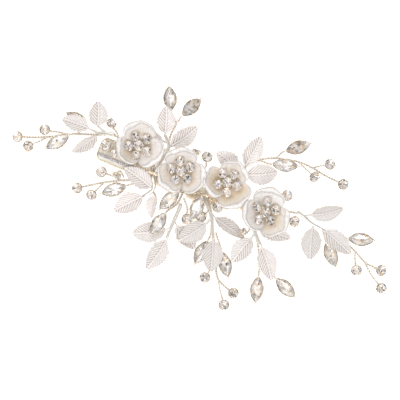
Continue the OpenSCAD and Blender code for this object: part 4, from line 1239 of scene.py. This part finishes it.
def plain_floor():
    bpy.ops.mesh.primitive_plane_add(size=3, location=(MIDDLE_X, MIDDLE_Y, -0.0002))
    floor = bpy.context.object
    floor.name = "floor"
    white = new_material("floor", (0.96, 0.96, 0.96), roughness=0.8,
                         Emission_Color=(1, 1, 1, 1), Emission_Strength=0.55)[0]
    floor.data.materials.append(white)


def soft_sky():
    """Bright above, greyer toward the horizon, so that metal and crystal have something to show."""
    world = bpy.data.worlds.new("studio")
    bpy.context.scene.world = world
    world.use_nodes = True
    tree = world.node_tree
    way = node(tree, "ShaderNodeTexCoord").outputs["Generated"]
    split = node(tree, "ShaderNodeSeparateXYZ")
    feed(split, 0, way)
    color = ramp(tree, split.outputs["Z"], [(0.0, (0.50, 0.49, 0.48)), (0.4, (0.60, 0.59, 0.58)),
                                            (0.75, (0.76, 0.76, 0.76)), (1.0, (1, 1, 1))])
    feed(tree.nodes["Background"], "Color", color)
    tree.nodes["Background"].inputs["Strength"].default_value = 0.9


def soft_box(name, place, size, watts):
    lamp = bpy.data.lights.new(name, "AREA")
    lamp.shape, lamp.size, lamp.energy = "DISK", size, watts
    made = bpy.data.objects.new(name, lamp)
    bpy.context.scene.collection.objects.link(made)
    made.location = place
    aim = Vector((MIDDLE_X, MIDDLE_Y, STAGE_Z)) - Vector(place)
    made.rotation_euler = aim.to_track_quat("-Z", "Y").to_euler()


def photo_camera():
    """Straight above, far off, rolled so that the sketch plane is square to the picture."""
    lens_mm, sensor, wide = 200, 36, PICTURE / PIXELS_PER_MM * MM
    camera = bpy.data.cameras.new("camera")
    camera.lens, camera.sensor_width = lens_mm, sensor
    camera.clip_start, camera.clip_end = 0.05, 10
    made = bpy.data.objects.new("camera", camera)
    bpy.context.scene.collection.objects.link(made)
    made.location = (MIDDLE_X, MIDDLE_Y, STAGE_Z + wide * lens_mm / sensor)
    made.rotation_euler = (0, 0, TURN)
    bpy.context.scene.camera = made


plain_floor()
soft_sky()
soft_box("key", (0.14, -0.36, 0.58), 0.4, 1.7)
soft_box("fill", (-0.3, 0.25, 0.6), 0.5, 1.0)
photo_camera()
bpy.context.scene.view_settings.view_transform = "Standard"
